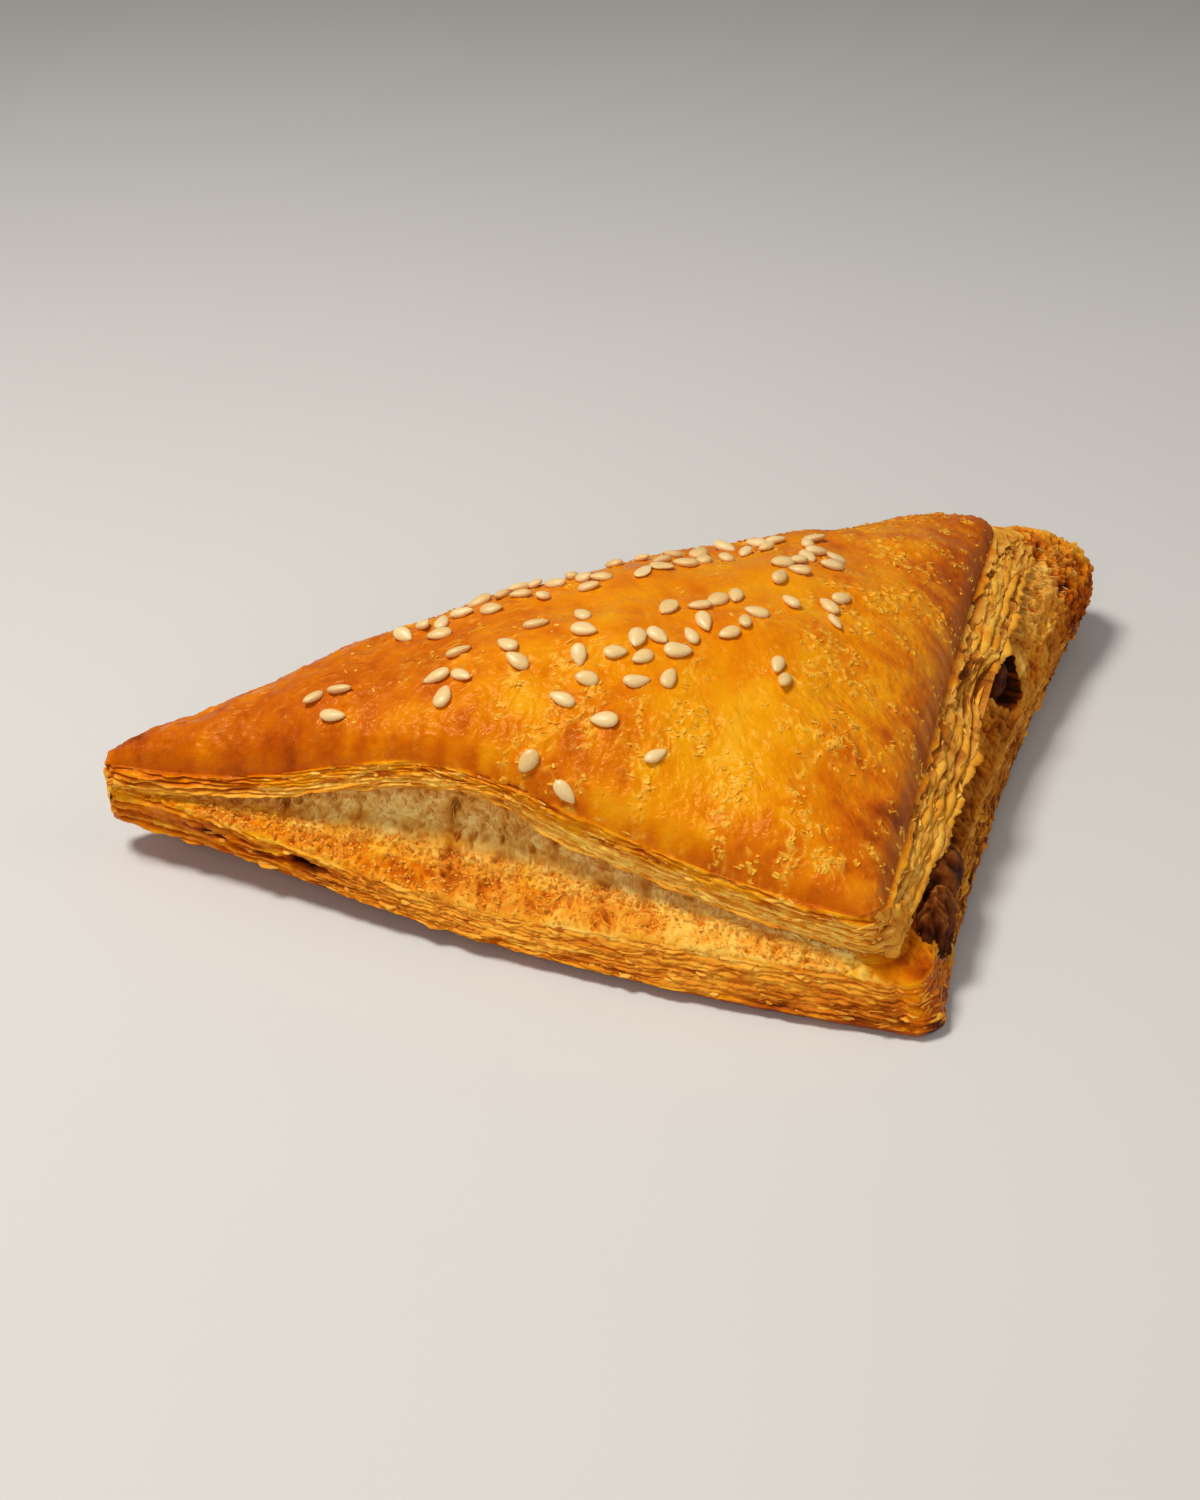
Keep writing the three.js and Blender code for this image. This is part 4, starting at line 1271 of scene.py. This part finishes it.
# Flakes that stand up at the corner B and a curled one at A: foot, tip, half width and how far
# the middle stands out, in mm, with the browning.
PETALS = (
    ((-4.9, -78.6, 11.4), (-4.6, -77.8, 15.3), 1.1, 0.15, 0.3),
    ((-3.2, -78.5, 10.8), (-2.9, -77.6, 14.9), 1.0, 0.2, 0.36),
    ((-1.6, -78.1, 10.4), (-1.0, -76.8, 14.6), 1.0, 0.2, 0.26),
    ((-0.4, -77.2, 10.2), (0.6, -75.4, 13.8), 0.9, 0.25, 0.4),
    ((-2.4, -79.2, 8.8), (-2.2, -78.4, 12.2), 0.9, 0.2, 0.22),
    ((-79.9, -9.4, 7.4), (-80.1, -9.2, 11.2), 0.6, 0.5, 0.12),
)
PETAL_ROWS, PETAL_COLUMNS = 22, 13
# Crumbs that stick to the corners: place, size in mm and browning.
CRUMB_LUMPS = (
    ((-80.2, -9.3, 12.2), 1.1, 0.2), ((1.5, -84.1, 2.3), 0.6, 0.25), ((-76.4, -10.9, 9.6), 0.9, 0.15),
    ((-74.4, -12.2, 9.8), 0.7, 0.2), ((-71.5, -14, 9.9), 0.6, 0.25),
)


def petal(foot, tip, half, stands, toast, seed):
    """A curved thin flake that stands from its foot to its tip."""
    foot, tip = np.array(foot, float), np.array(tip, float)
    middle = (foot + tip) / 2
    outward = unit(np.array([middle[0] + 0.001, middle[1] + 30, 0.0]))
    across = unit(np.cross(tip - foot, outward))
    steps = np.linspace(0, 1, PETAL_ROWS), np.linspace(-1, 1, PETAL_COLUMNS)
    u, v = np.meshgrid(*steps, indexing="ij")
    wide = half * (0.45 + 0.55 * np.sin(np.pi * (0.2 + 0.7 * u)) ** 0.6)
    place = foot + u[..., None] * (tip - foot) + (v * wide)[..., None] * across
    place = place + outward * (stands * (np.sin(np.pi * u) ** 0.7 - 0.9 * v**2) + 0.3)[..., None]
    wavy = 0.3 * noise(place, 1.6, seed) + 0.12 * noise(place, 0.6, seed + 6)
    place = place + outward * wavy[..., None]
    frayed = 0.4 * noise(place, 1.1, seed + 1) + 0.2 * noise(place, 0.5, seed + 7)
    place = place + across * frayed[..., None]
    layers = [place + outward * side * 0.1 for side in (1, -1)]
    points = np.concatenate([layer.reshape(-1, 3) for layer in layers])
    index = np.arange(u.size).reshape(u.shape)
    front = np.stack([index[:-1, :-1], index[:-1, 1:], index[1:, 1:], index[1:, :-1]], -1).reshape(-1, 4)
    edge = np.concatenate([index[0], index[1:, -1], index[-1, -2::-1], index[-2:0:-1, 0]])
    after = np.roll(edge, -1)
    border = np.stack([edge, edge + u.size, after + u.size, after], -1)
    faces = front.tolist() + turned_over((front + u.size).tolist()) + border.tolist()
    return points, faces, toast + 0.14 * noise(points, 1.5, seed + 2) + 0.1 * noise(points, 0.6, seed + 3)


def crumb_lump(at, size, toast, seed):
    """A small round crumb of dough."""
    points, faces, _ = mushroom(at, (size, size * 0.8, size * 0.75), seed, 0.2, seed, 0.25 * size)
    return points, faces, toast + 0.2 * noise(points, 0.9, seed + 5)


def dress_corners():
    """The flakes and crumbs at the corners."""
    parts = [petal(*plan, 1200 + 7 * i) for i, plan in enumerate(PETALS)]
    parts += [crumb_lump(*plan, 1300 + 7 * i) for i, plan in enumerate(CRUMB_LUMPS)]
    points, faces, toast = merged(parts)
    reads = same_reads(toast, glaze=0.15, torn=0.3)
    add_piece("corner_flakes", points, faces, reads, dough_material("corner_flakes", 0.12))


def dress_leaves():
    """The thin leaves of the sheet and of the lip."""
    finish = dough_material("thin_leaves", 0.08)
    plans = leaf_plans()
    for name, level in (("sheet", "foot"), ("lip", "lip_low")):
        shells = [leaf_shell(*plan, 600 + 11 * i) for i, plan in enumerate(plans) if plan[0] == level]
        points, faces, toast = merged(shells)
        add_piece(f"pastry_{name}_leaves", points, faces, same_reads(toast), finish)


# Torn threads in the gap, flecks on the top and chips on the cut edges: how many are tried, the
# stations along a thread and the corners of a fleck or chip.
THREADS, THREAD_STATIONS = 5200, 5
FLECKS, FLECK_CORNERS = 60000, 6
CHIPS = 9400


def drawn_numbers(count, kinds, seed):
    """Numbers from 0 to 1, one row for each of many scattered things."""
    index = np.arange(count)
    spread = [np.stack([index, np.full(count, kind), index // 7], -1) for kind in range(kinds)]
    return np.stack([hashed(cell, seed) for cell in spread], -1)


def tube_faces(count, stations, sides):
    """Faces of many closed tubes whose points follow each other."""
    index = np.arange(stations * sides).reshape(stations, sides)
    on = np.roll(index, -1, axis=1)
    quads = np.stack([index[:-1], on[:-1], on[1:], index[1:]], -1).reshape(-1, 4)
    starts = (np.arange(count) * stations * sides)[:, None]
    faces = (quads[None] + starts[..., None]).reshape(-1, 4).tolist()
    return faces + (index[0, ::-1] + starts).tolist() + (index[-1] + starts).tolist()


def thread_points(roots, out, up, draws):
    """Tapered, curved threads that rise from a surface, four points round at each station."""
    side = np.cross(up, out)
    side /= np.linalg.norm(side, axis=1, keepdims=True)
    length = (0.45 + 1.1 * draws[:, 0] ** 1.6)[:, None]
    turn = ((draws[:, 1] - 0.5) * 1.3)[:, None]
    heading = up * np.cos(turn) + side * np.sin(turn)
    across = np.cross(heading, out)
    lift = (0.04 + 0.26 * draws[:, 2])[:, None]
    bend = (draws[:, 3] - 0.5)[:, None]
    thick = (0.06 + 0.09 * draws[:, 4])[:, None]
    points = []
    for share in np.linspace(0, 1, THREAD_STATIONS):
        spine = roots + (heading * share + across * bend * share**2 + out * lift * share) * length
        spine = spine - out * (0.08 + 0.25 * lift * share**2)
        half = thick * (1 - 0.7 * share**2)
        thin = out * half * 0.7
        points += [spine + thin, spine + across * half, spine - thin, spine - across * half]
    return np.stack(points, 1).reshape(-1, 3)


def dress_threads(points, normals, bands, columns):
    """Torn threads of dough that stand off the wall of the gap."""
    draws = drawn_numbers(THREADS, 8, 900)
    rows = np.where(np.isin(bands, ("wall", "seal")))[0][8:]
    row = rows[0] + (draws[:, 5] ** 0.8 * (len(rows) - 2)).astype(int)
    column = (draws[:, 6] * (SIDE_STEPS[0] + CORNER_STEPS[0] + SIDE_STEPS[1])).astype(int)
    at = row * columns + column
    up = points[at + columns] - points[at]
    up /= np.maximum(np.linalg.norm(up, axis=1, keepdims=True), 1e-9)
    keep = (np.abs((up * normals[at]).sum(1)) < 0.8) & (torn_share(points[at]) < 0.1)
    at, up, draws = at[keep], up[keep], draws[keep]
    made = thread_points(points[at], normals[at], up, draws)
    faces = tube_faces(len(at), THREAD_STATIONS, 4)
    tone = np.repeat(0.04 + 0.34 * draws[:, 7], THREAD_STATIONS * 4)
    finish = dough_material("torn_threads", 0.05)
    add_piece("pastry_threads", made, faces, same_reads(tone, torn=0.8), finish)


def plates(points, out, flat, size, tilt, curl, thick):
    """Thin uneven plates lying on a surface: size is half lengths along flat and across it."""
    across = np.cross(out, flat)
    across /= np.maximum(np.linalg.norm(across, axis=1, keepdims=True), 1e-9)
    run = np.cross(across, out)
    index = np.arange(len(points))
    sides = []
    for level in (-1, 1):
        for j in range(FLECK_CORNERS):
            angle = 2 * math.pi * j / FLECK_CORNERS
            uneven = 0.7 + 0.6 * hashed(np.stack([index, index * 0 + j, index // 5], -1), 951)[:, None]
            x = size[:, :1] * math.cos(angle) * uneven
            y = size[:, 1:] * math.sin(angle) * uneven
            height = thick * (1.4 + level) + tilt[:, None] * y + curl[:, None] * x**2
            sides.append(points + run * x + across * y + out * height)
    return np.stack(sides, 1).reshape(-1, 3), tube_faces(len(points), 2, FLECK_CORNERS)


def dress_flecks(points, normals, flaked):
    """Thin flecks of the crust that lie on the top with one edge raised."""
    draws = drawn_numbers(FLECKS, 9, 950)
    at = (draws[:, 0] * len(points)).astype(int)
    keep = draws[:, 1] < flaked[at] * 0.7 - 0.08
    at, draws = at[keep], draws[keep]
    heading = draws[:, 2:3] * 2 * math.pi
    flat = np.concatenate([np.cos(heading), np.sin(heading), 0 * heading], 1)
    size = np.stack([0.18 + 0.4 * draws[:, 3] ** 2, 0.08 + 0.14 * draws[:, 4]], -1)
    tilt, curl = (draws[:, 5] - 0.4) * 0.7, (draws[:, 6] - 0.4) * 0.6
    made, faces = plates(points[at], normals[at], flat, size, tilt, curl, 0.025)
    tone = np.repeat(0.1 + 0.3 * draws[:, 7], 2 * FLECK_CORNERS)
    pale = np.repeat(0.3 + 0.7 * draws[:, 8], 2 * FLECK_CORNERS)
    reads = same_reads(tone, glaze=0.9, flaked=pale)
    add_piece("crust_flecks", made, faces, reads, dough_material("thin_flecks", 0.3), crisp=True)


def dress_chips(points, normals, bands, columns):
    """Chips of thin leaf that stick to the cut edges and to the ledge of the gap."""
    draws = drawn_numbers(CHIPS, 10, 970)
    rows = np.where(np.isin(bands, ("rim", "lip_top")))[0][2:-2]
    inner = np.where(np.isin(bands, ("ledge", "wall")))[0][:22]
    rows = np.concatenate([rows, np.tile(inner, 5)])
    row = rows[(draws[:, 5] * len(rows)).astype(int)]
    column = ((0.06 + 0.94 * draws[:, 6]) * (SIDE_STEPS[0] + CORNER_STEPS[0] + SIDE_STEPS[1])).astype(int)
    inside = np.isin(bands[row], ("ledge", "wall"))
    free = inside | (draws[:, 0] < 0.4) & ((column > 0.32 * SIDE_STEPS[0]) | (draws[:, 1] < 0.25))
    free &= ~inside | (column < SIDE_STEPS[0] * 0.97)
    row, column, draws = row[free], column[free], draws[free]
    at = row * columns + column
    flat = points[at + 3] - points[at]
    up = np.cross(normals[at], flat)
    ledge = np.isin(bands[row], ("ledge", "wall"))[:, None]
    flat = flat + up * (draws[:, 2:3] - 0.5) * (0.7 + 3 * ledge)
    lone = np.where(ledge[:, 0], 0.4, 1.0)
    size = np.stack([(0.25 + 0.9 * draws[:, 3] ** 2) * lone, 0.08 + 0.12 * draws[:, 4]], -1)
    tilt, curl = (draws[:, 7] - 0.4) * 0.9, (draws[:, 8] - 0.45) * 0.4
    made, faces = plates(points[at], normals[at], flat, size, tilt, curl, 0.035)
    right = smooth(column / SIDE_STEPS[0] * 4 - 2.4)
    darker = np.where(bands[row] == "rim", 0.12 + 0.08 * right, 0.06 * ledge[:, 0])
    tone = np.repeat(0.08 + 0.32 * draws[:, 9] * (1 - 0.5 * right) + darker, 2 * FLECK_CORNERS)
    finish = dough_material("thin_chips", 0.12)
    add_piece("pastry_chips", made, faces, same_reads(tone, torn=0.15), finish, crisp=True)


crust_points, crust_pieces = dress_dough()
dress_leaves()
dress_corners()

# Sesame seeds: size in millimetres, and the patches they were scattered in, as in the part's
# source: middle, half sizes along and across the fold, turn and number.
SEED_LENGTH, SEED_WIDTH, SEED_HEIGHT = 3.4, 2.05, 1.15
SEED_SUNK, SEED_GAP, SEED_TRIES = 0.2, 2.6, 40
DRAWS_PER_PATCH = 1000
SEED_PATCHES = (
    ((-12, -18), (32, 4.2), 0, 34), ((14, -24.5), (5.5, 3.5), 0.5, 7), ((7, -34), (9, 6), 0, 6),
    ((-6, -36), (7, 6), 0.4, 8), ((-17, -39.5), (4.5, 4.5), 0, 9), ((-27, -34), (8, 9), 0, 8),
    ((-29, -49), (9, 5), -0.5, 4), ((-4, -49), (4, 3), 0.8, 2), ((-39, -31), (5, 3.5), 0.4, 4),
    ((-54, -24), (3.5, 3.2), 0, 3),
)
SEED_STATIONS, SEED_SIDES = 12, 14


def seed_places():
    """Places on the top for all seeds, kept apart from each other, with their headings."""
    places = []
    for index, (at, half, turn, count) in enumerate(SEED_PATCHES):
        order = index * DRAWS_PER_PATCH + 1
        left = count
        for _ in range(count * SEED_TRIES):
            if left == 0:
                break
            angle = draw(order) * 2 * math.pi
            reach = math.sqrt(draw(order + 1))
            place = np.array([math.cos(angle) * half[0], math.sin(angle) * half[1]]) * reach
            place = turned(place, turn) + np.array(at)
            heading = draw(order + 2) * 2 * math.pi
            order += 3
            if all(np.linalg.norm(other - place) > SEED_GAP for other, _ in places):
                places.append((place, heading))
                left -= 1
    return places


def seed_shape(order):
    """One sesame seed along X: a flat drop, blunt at one end and pointed at the other."""
    share = (1 - np.cos(np.linspace(0, math.pi, SEED_STATIONS + 2)[1:-1])) / 2
    full = np.sqrt(share) * (1 - share) ** 0.78
    full /= full.max()
    plump = 0.85 + 0.3 * draw(order)
    angle = np.linspace(0, 2 * math.pi, SEED_SIDES, endpoint=False)
    y = np.outer(full, np.cos(angle)) * SEED_WIDTH / 2 * plump
    z = np.outer(full**0.85, np.sin(angle)) * SEED_HEIGHT / 2
    x = np.repeat((share - 0.5)[:, None], SEED_SIDES, axis=1) * SEED_LENGTH
    y = y + 0.12 * (draw(order + 1) - 0.5) * (x / SEED_LENGTH) ** 2 * 8
    points = np.stack([x, y, z], -1).reshape(-1, 3)
    ends = np.array([[-SEED_LENGTH / 2, 0, 0], [SEED_LENGTH / 2, 0, 0]])
    points = np.concatenate([points, ends])
    points = points + 0.05 * noise(points + order * 3.7, 1.2, 700)[:, None]
    along = points[:, 0] / SEED_LENGTH + 0.5
    tone = 0.25 + 0.3 * draw(order + 2) + 0.5 * smooth((along - 0.86) * 6)
    return points, closed_faces(SEED_STATIONS, SEED_SIDES), tone


def seat(points, at, normal, heading):
    """A small thing laid flat on the crust at one place."""
    spun = points.copy()
    spun[:, :2] = turned(spun[:, :2], heading)
    rotation = Vector((0, 0, 1)).rotation_difference(Vector(normal)).to_matrix()
    return spun @ np.array(rotation).T + np.array(at)


def seed_material():
    nodes = Nodes("sesame")
    tone = nodes.math("ADD", nodes.read("toast"), nodes.scaled(nodes.noise(1500, 3), 0.35, -0.17))
    rough = nodes.scaled(nodes.noise(900, 2), 0.2, 0.28)
    nodes.shine(Base_Color=nodes.ramp(tone, SESAME), Roughness=rough)
    nodes.shine(Subsurface_Weight=0.15, Subsurface_Scale=0.6 * MM)
    nodes.bump(nodes.noise(2600, 2), 0.05, 0.4)
    return nodes.material


def dress_seeds():
    """All sesame seeds on the crust, as one piece."""
    faces = [[int(i) for i in face] for face in crust_pieces["top"]]
    tree = BVHTree.FromPolygons(crust_points.tolist(), faces)
    parts = []
    for index, (place, heading) in enumerate(seed_places()):
        order = 9001 + 7 * index
        hit, normal, _, _ = tree.ray_cast(Vector((*place, 2 * CREST_HEIGHT)), Vector((0, 0, -1)))
        if normal.z < 0:
            normal = -normal
        points, seed_faces, tone = seed_shape(order)
        size = 0.88 + 0.22 * draw(order + 3)
        lean = Vector((draw(order + 4) - 0.5, draw(order + 5) - 0.5, 0)) * 0.24
        normal = (normal + lean).normalized()
        at = hit + normal * (SEED_HEIGHT / 2 - SEED_SUNK)
        parts.append((seat(points * size, at, normal, heading), seed_faces, tone))
    points, seed_faces, tone = merged(parts)
    add_piece("sesame_seeds", points, seed_faces, {"toast": tone}, seed_material())


dress_seeds()

# The filling as in the part's source: a cushion inside the dough and lumps of mushroom.
MUSHROOMS = (
    ((3, -60, 10), (8, 6, 3.6), 0.86, 0), ((9.5, -65.2, 8.8), (6.8, 5.2, 3.4), 0.86, 0.15),
    ((7, -73.6, 6), (5.5, 1.8, 4.8), 0.78, -0.15), ((36.5, -32.0, 13.2), (6, 4.9, 3.8), 0.77, 0.2),
)
FILLING_FLOOR, FILLING_TOP, FILLING_STEP = 5.5, 29.5, 10
FILLING_SCALES = (0.93, 0.8, 0.62, 0.42, 0.2)


def cushion():
    """The cushion of filling that lies hidden in the dough, of a size with the part's own."""
    base, along, out = (each[::FILLING_STEP] for each in ring("filling"))
    base = base + out * 0.5 * ripple(along, 3)[:, None]
    flat, edge = base[:, :2], base[:, 2]
    rise = rise_over("filling")

    def scaled(scale, height=None):
        place = (flat - CREST_AT) * scale + CREST_AT
        if height is None:
            share = rise(place)
            height = (edge + 1) * (1 - share) + FILLING_TOP * share
        return np.column_stack([place, np.broadcast_to(height, edge.shape)])

    rings = [scaled(0.6, FILLING_FLOOR), scaled(0.93, FILLING_FLOOR + 0.15 * (edge - FILLING_FLOOR))]
    rings += [scaled(1, edge - 2), scaled(1, edge + 1)] + [scaled(scale) for scale in FILLING_SCALES]
    ends = [[*CREST_AT, FILLING_FLOOR], [*CREST_AT, FILLING_TOP]]
    points = np.concatenate(rings + [np.array(ends)])
    return points, closed_faces(len(rings), len(flat)), 0.5 + 0.3 * noise(points, 4, 790)


def mushroom_material():
    nodes = Nodes("cooked_mushroom")
    tone = nodes.math("ADD", nodes.read("toast"), nodes.scaled(nodes.noise(700, 4, 0.6), 0.5, -0.25))
    rough = nodes.scaled(nodes.noise(600, 2), 0.3, 0.42)
    nodes.shine(Base_Color=nodes.ramp(tone, MUSHROOM), Roughness=rough)
    nodes.shine(Specular_IOR_Level=0.04, Specular_Tint=SHEEN_TINT)
    nodes.bump(nodes.noise(1300, 3), 0.12, 0.6)
    return nodes.material


def dress_filling():
    parts = [cushion()] + [mushroom(*lump, 800 + 9 * i) for i, lump in enumerate(MUSHROOMS)]
    points, faces, tone = merged(parts)
    add_piece("mushroom_pieces", points, faces, {"toast": tone}, mushroom_material(), stands_for=FILLING)


dress_filling()

# The photograph's camera: place in the drawing's coordinates, bearing and fall in degrees,
# and half of the view's width in degrees.
CAMERA_AT = (-109.53, -246.5, 159.69)
CAMERA_BEARING, CAMERA_FALL = 22.68625, 32.0
HALF_WIDTH = 16.0

# Lamps: name, place and size in metres, power in watts and colour; then the surround's colour
# and strength, and half of the floor's width in metres.
LAMPS = (
    ("key", (-0.22, 0.08, 0.54), 0.15, 2.65, (1.0, 0.97, 0.92)),
    ("front", (-0.4, -0.62, 0.42), 0.5, 1.6, (1.0, 0.97, 0.92)),
    ("right", (0.5, -0.3, 0.45), 0.45, 0.6, (1.0, 0.96, 0.9)),
)
SURROUND = ((0.95, 0.93, 0.9, 1), 0.16)
FLOOR_REACH = 3.0


def add_camera():
    data = bpy.data.cameras.new("camera")
    camera = linked("camera", data)
    bearing, fall = math.radians(CAMERA_BEARING), math.radians(CAMERA_FALL)
    forward = Vector((
        math.sin(bearing) * math.cos(fall), math.cos(bearing) * math.cos(fall), -math.sin(fall),
    ))
    camera.location = Vector(to_scene(CAMERA_AT))
    camera.rotation_mode = "QUATERNION"
    camera.rotation_quaternion = forward.to_track_quat("-Z", "Y")
    data.sensor_fit = "HORIZONTAL"
    data.sensor_width = 36
    data.lens = data.sensor_width / 2 / math.tan(math.radians(HALF_WIDTH))
    data.clip_start, data.clip_end = 0.01, 20
    bpy.context.scene.camera = camera


def add_lamp(name, at, size, power, colour):
    """A soft square lamp that faces the pastry; place and size in metres."""
    data = bpy.data.lights.new(name, "AREA")
    data.shape = "SQUARE"
    data.size, data.energy, data.color = size, power, colour
    lamp = linked(name, data)
    lamp.location = at
    lamp.rotation_mode = "QUATERNION"
    lamp.rotation_quaternion = (Vector((0, 0, 0.01)) - Vector(at)).to_track_quat("-Z", "Y")


def add_stage():
    """A pale floor, soft lamps and an even pale surround."""
    nodes = Nodes("pale_floor")
    nodes.shine(Base_Color=nodes.ramp(nodes.noise(6, 2), FLOOR), Roughness=0.8)
    corners = [(x * FLOOR_REACH, y * FLOOR_REACH, 0) for x, y in ((-1, -1), (1, -1), (1, 1), (-1, 1))]
    mesh = bpy.data.meshes.new("floor")
    mesh.from_pydata(corners, [], [(0, 1, 2, 3)])
    mesh.materials.append(nodes.material)
    floor = linked("floor", mesh)
    for lamp in LAMPS:
        add_lamp(*lamp)
    world = bpy.data.worlds.new("surround")
    world.use_nodes = True
    surround = world.node_tree.nodes["Background"].inputs
    surround["Color"].default_value, surround["Strength"].default_value = SURROUND
    bpy.context.scene.world = world
    bpy.context.scene.view_settings.view_transform = "Standard"


add_camera()
add_stage()
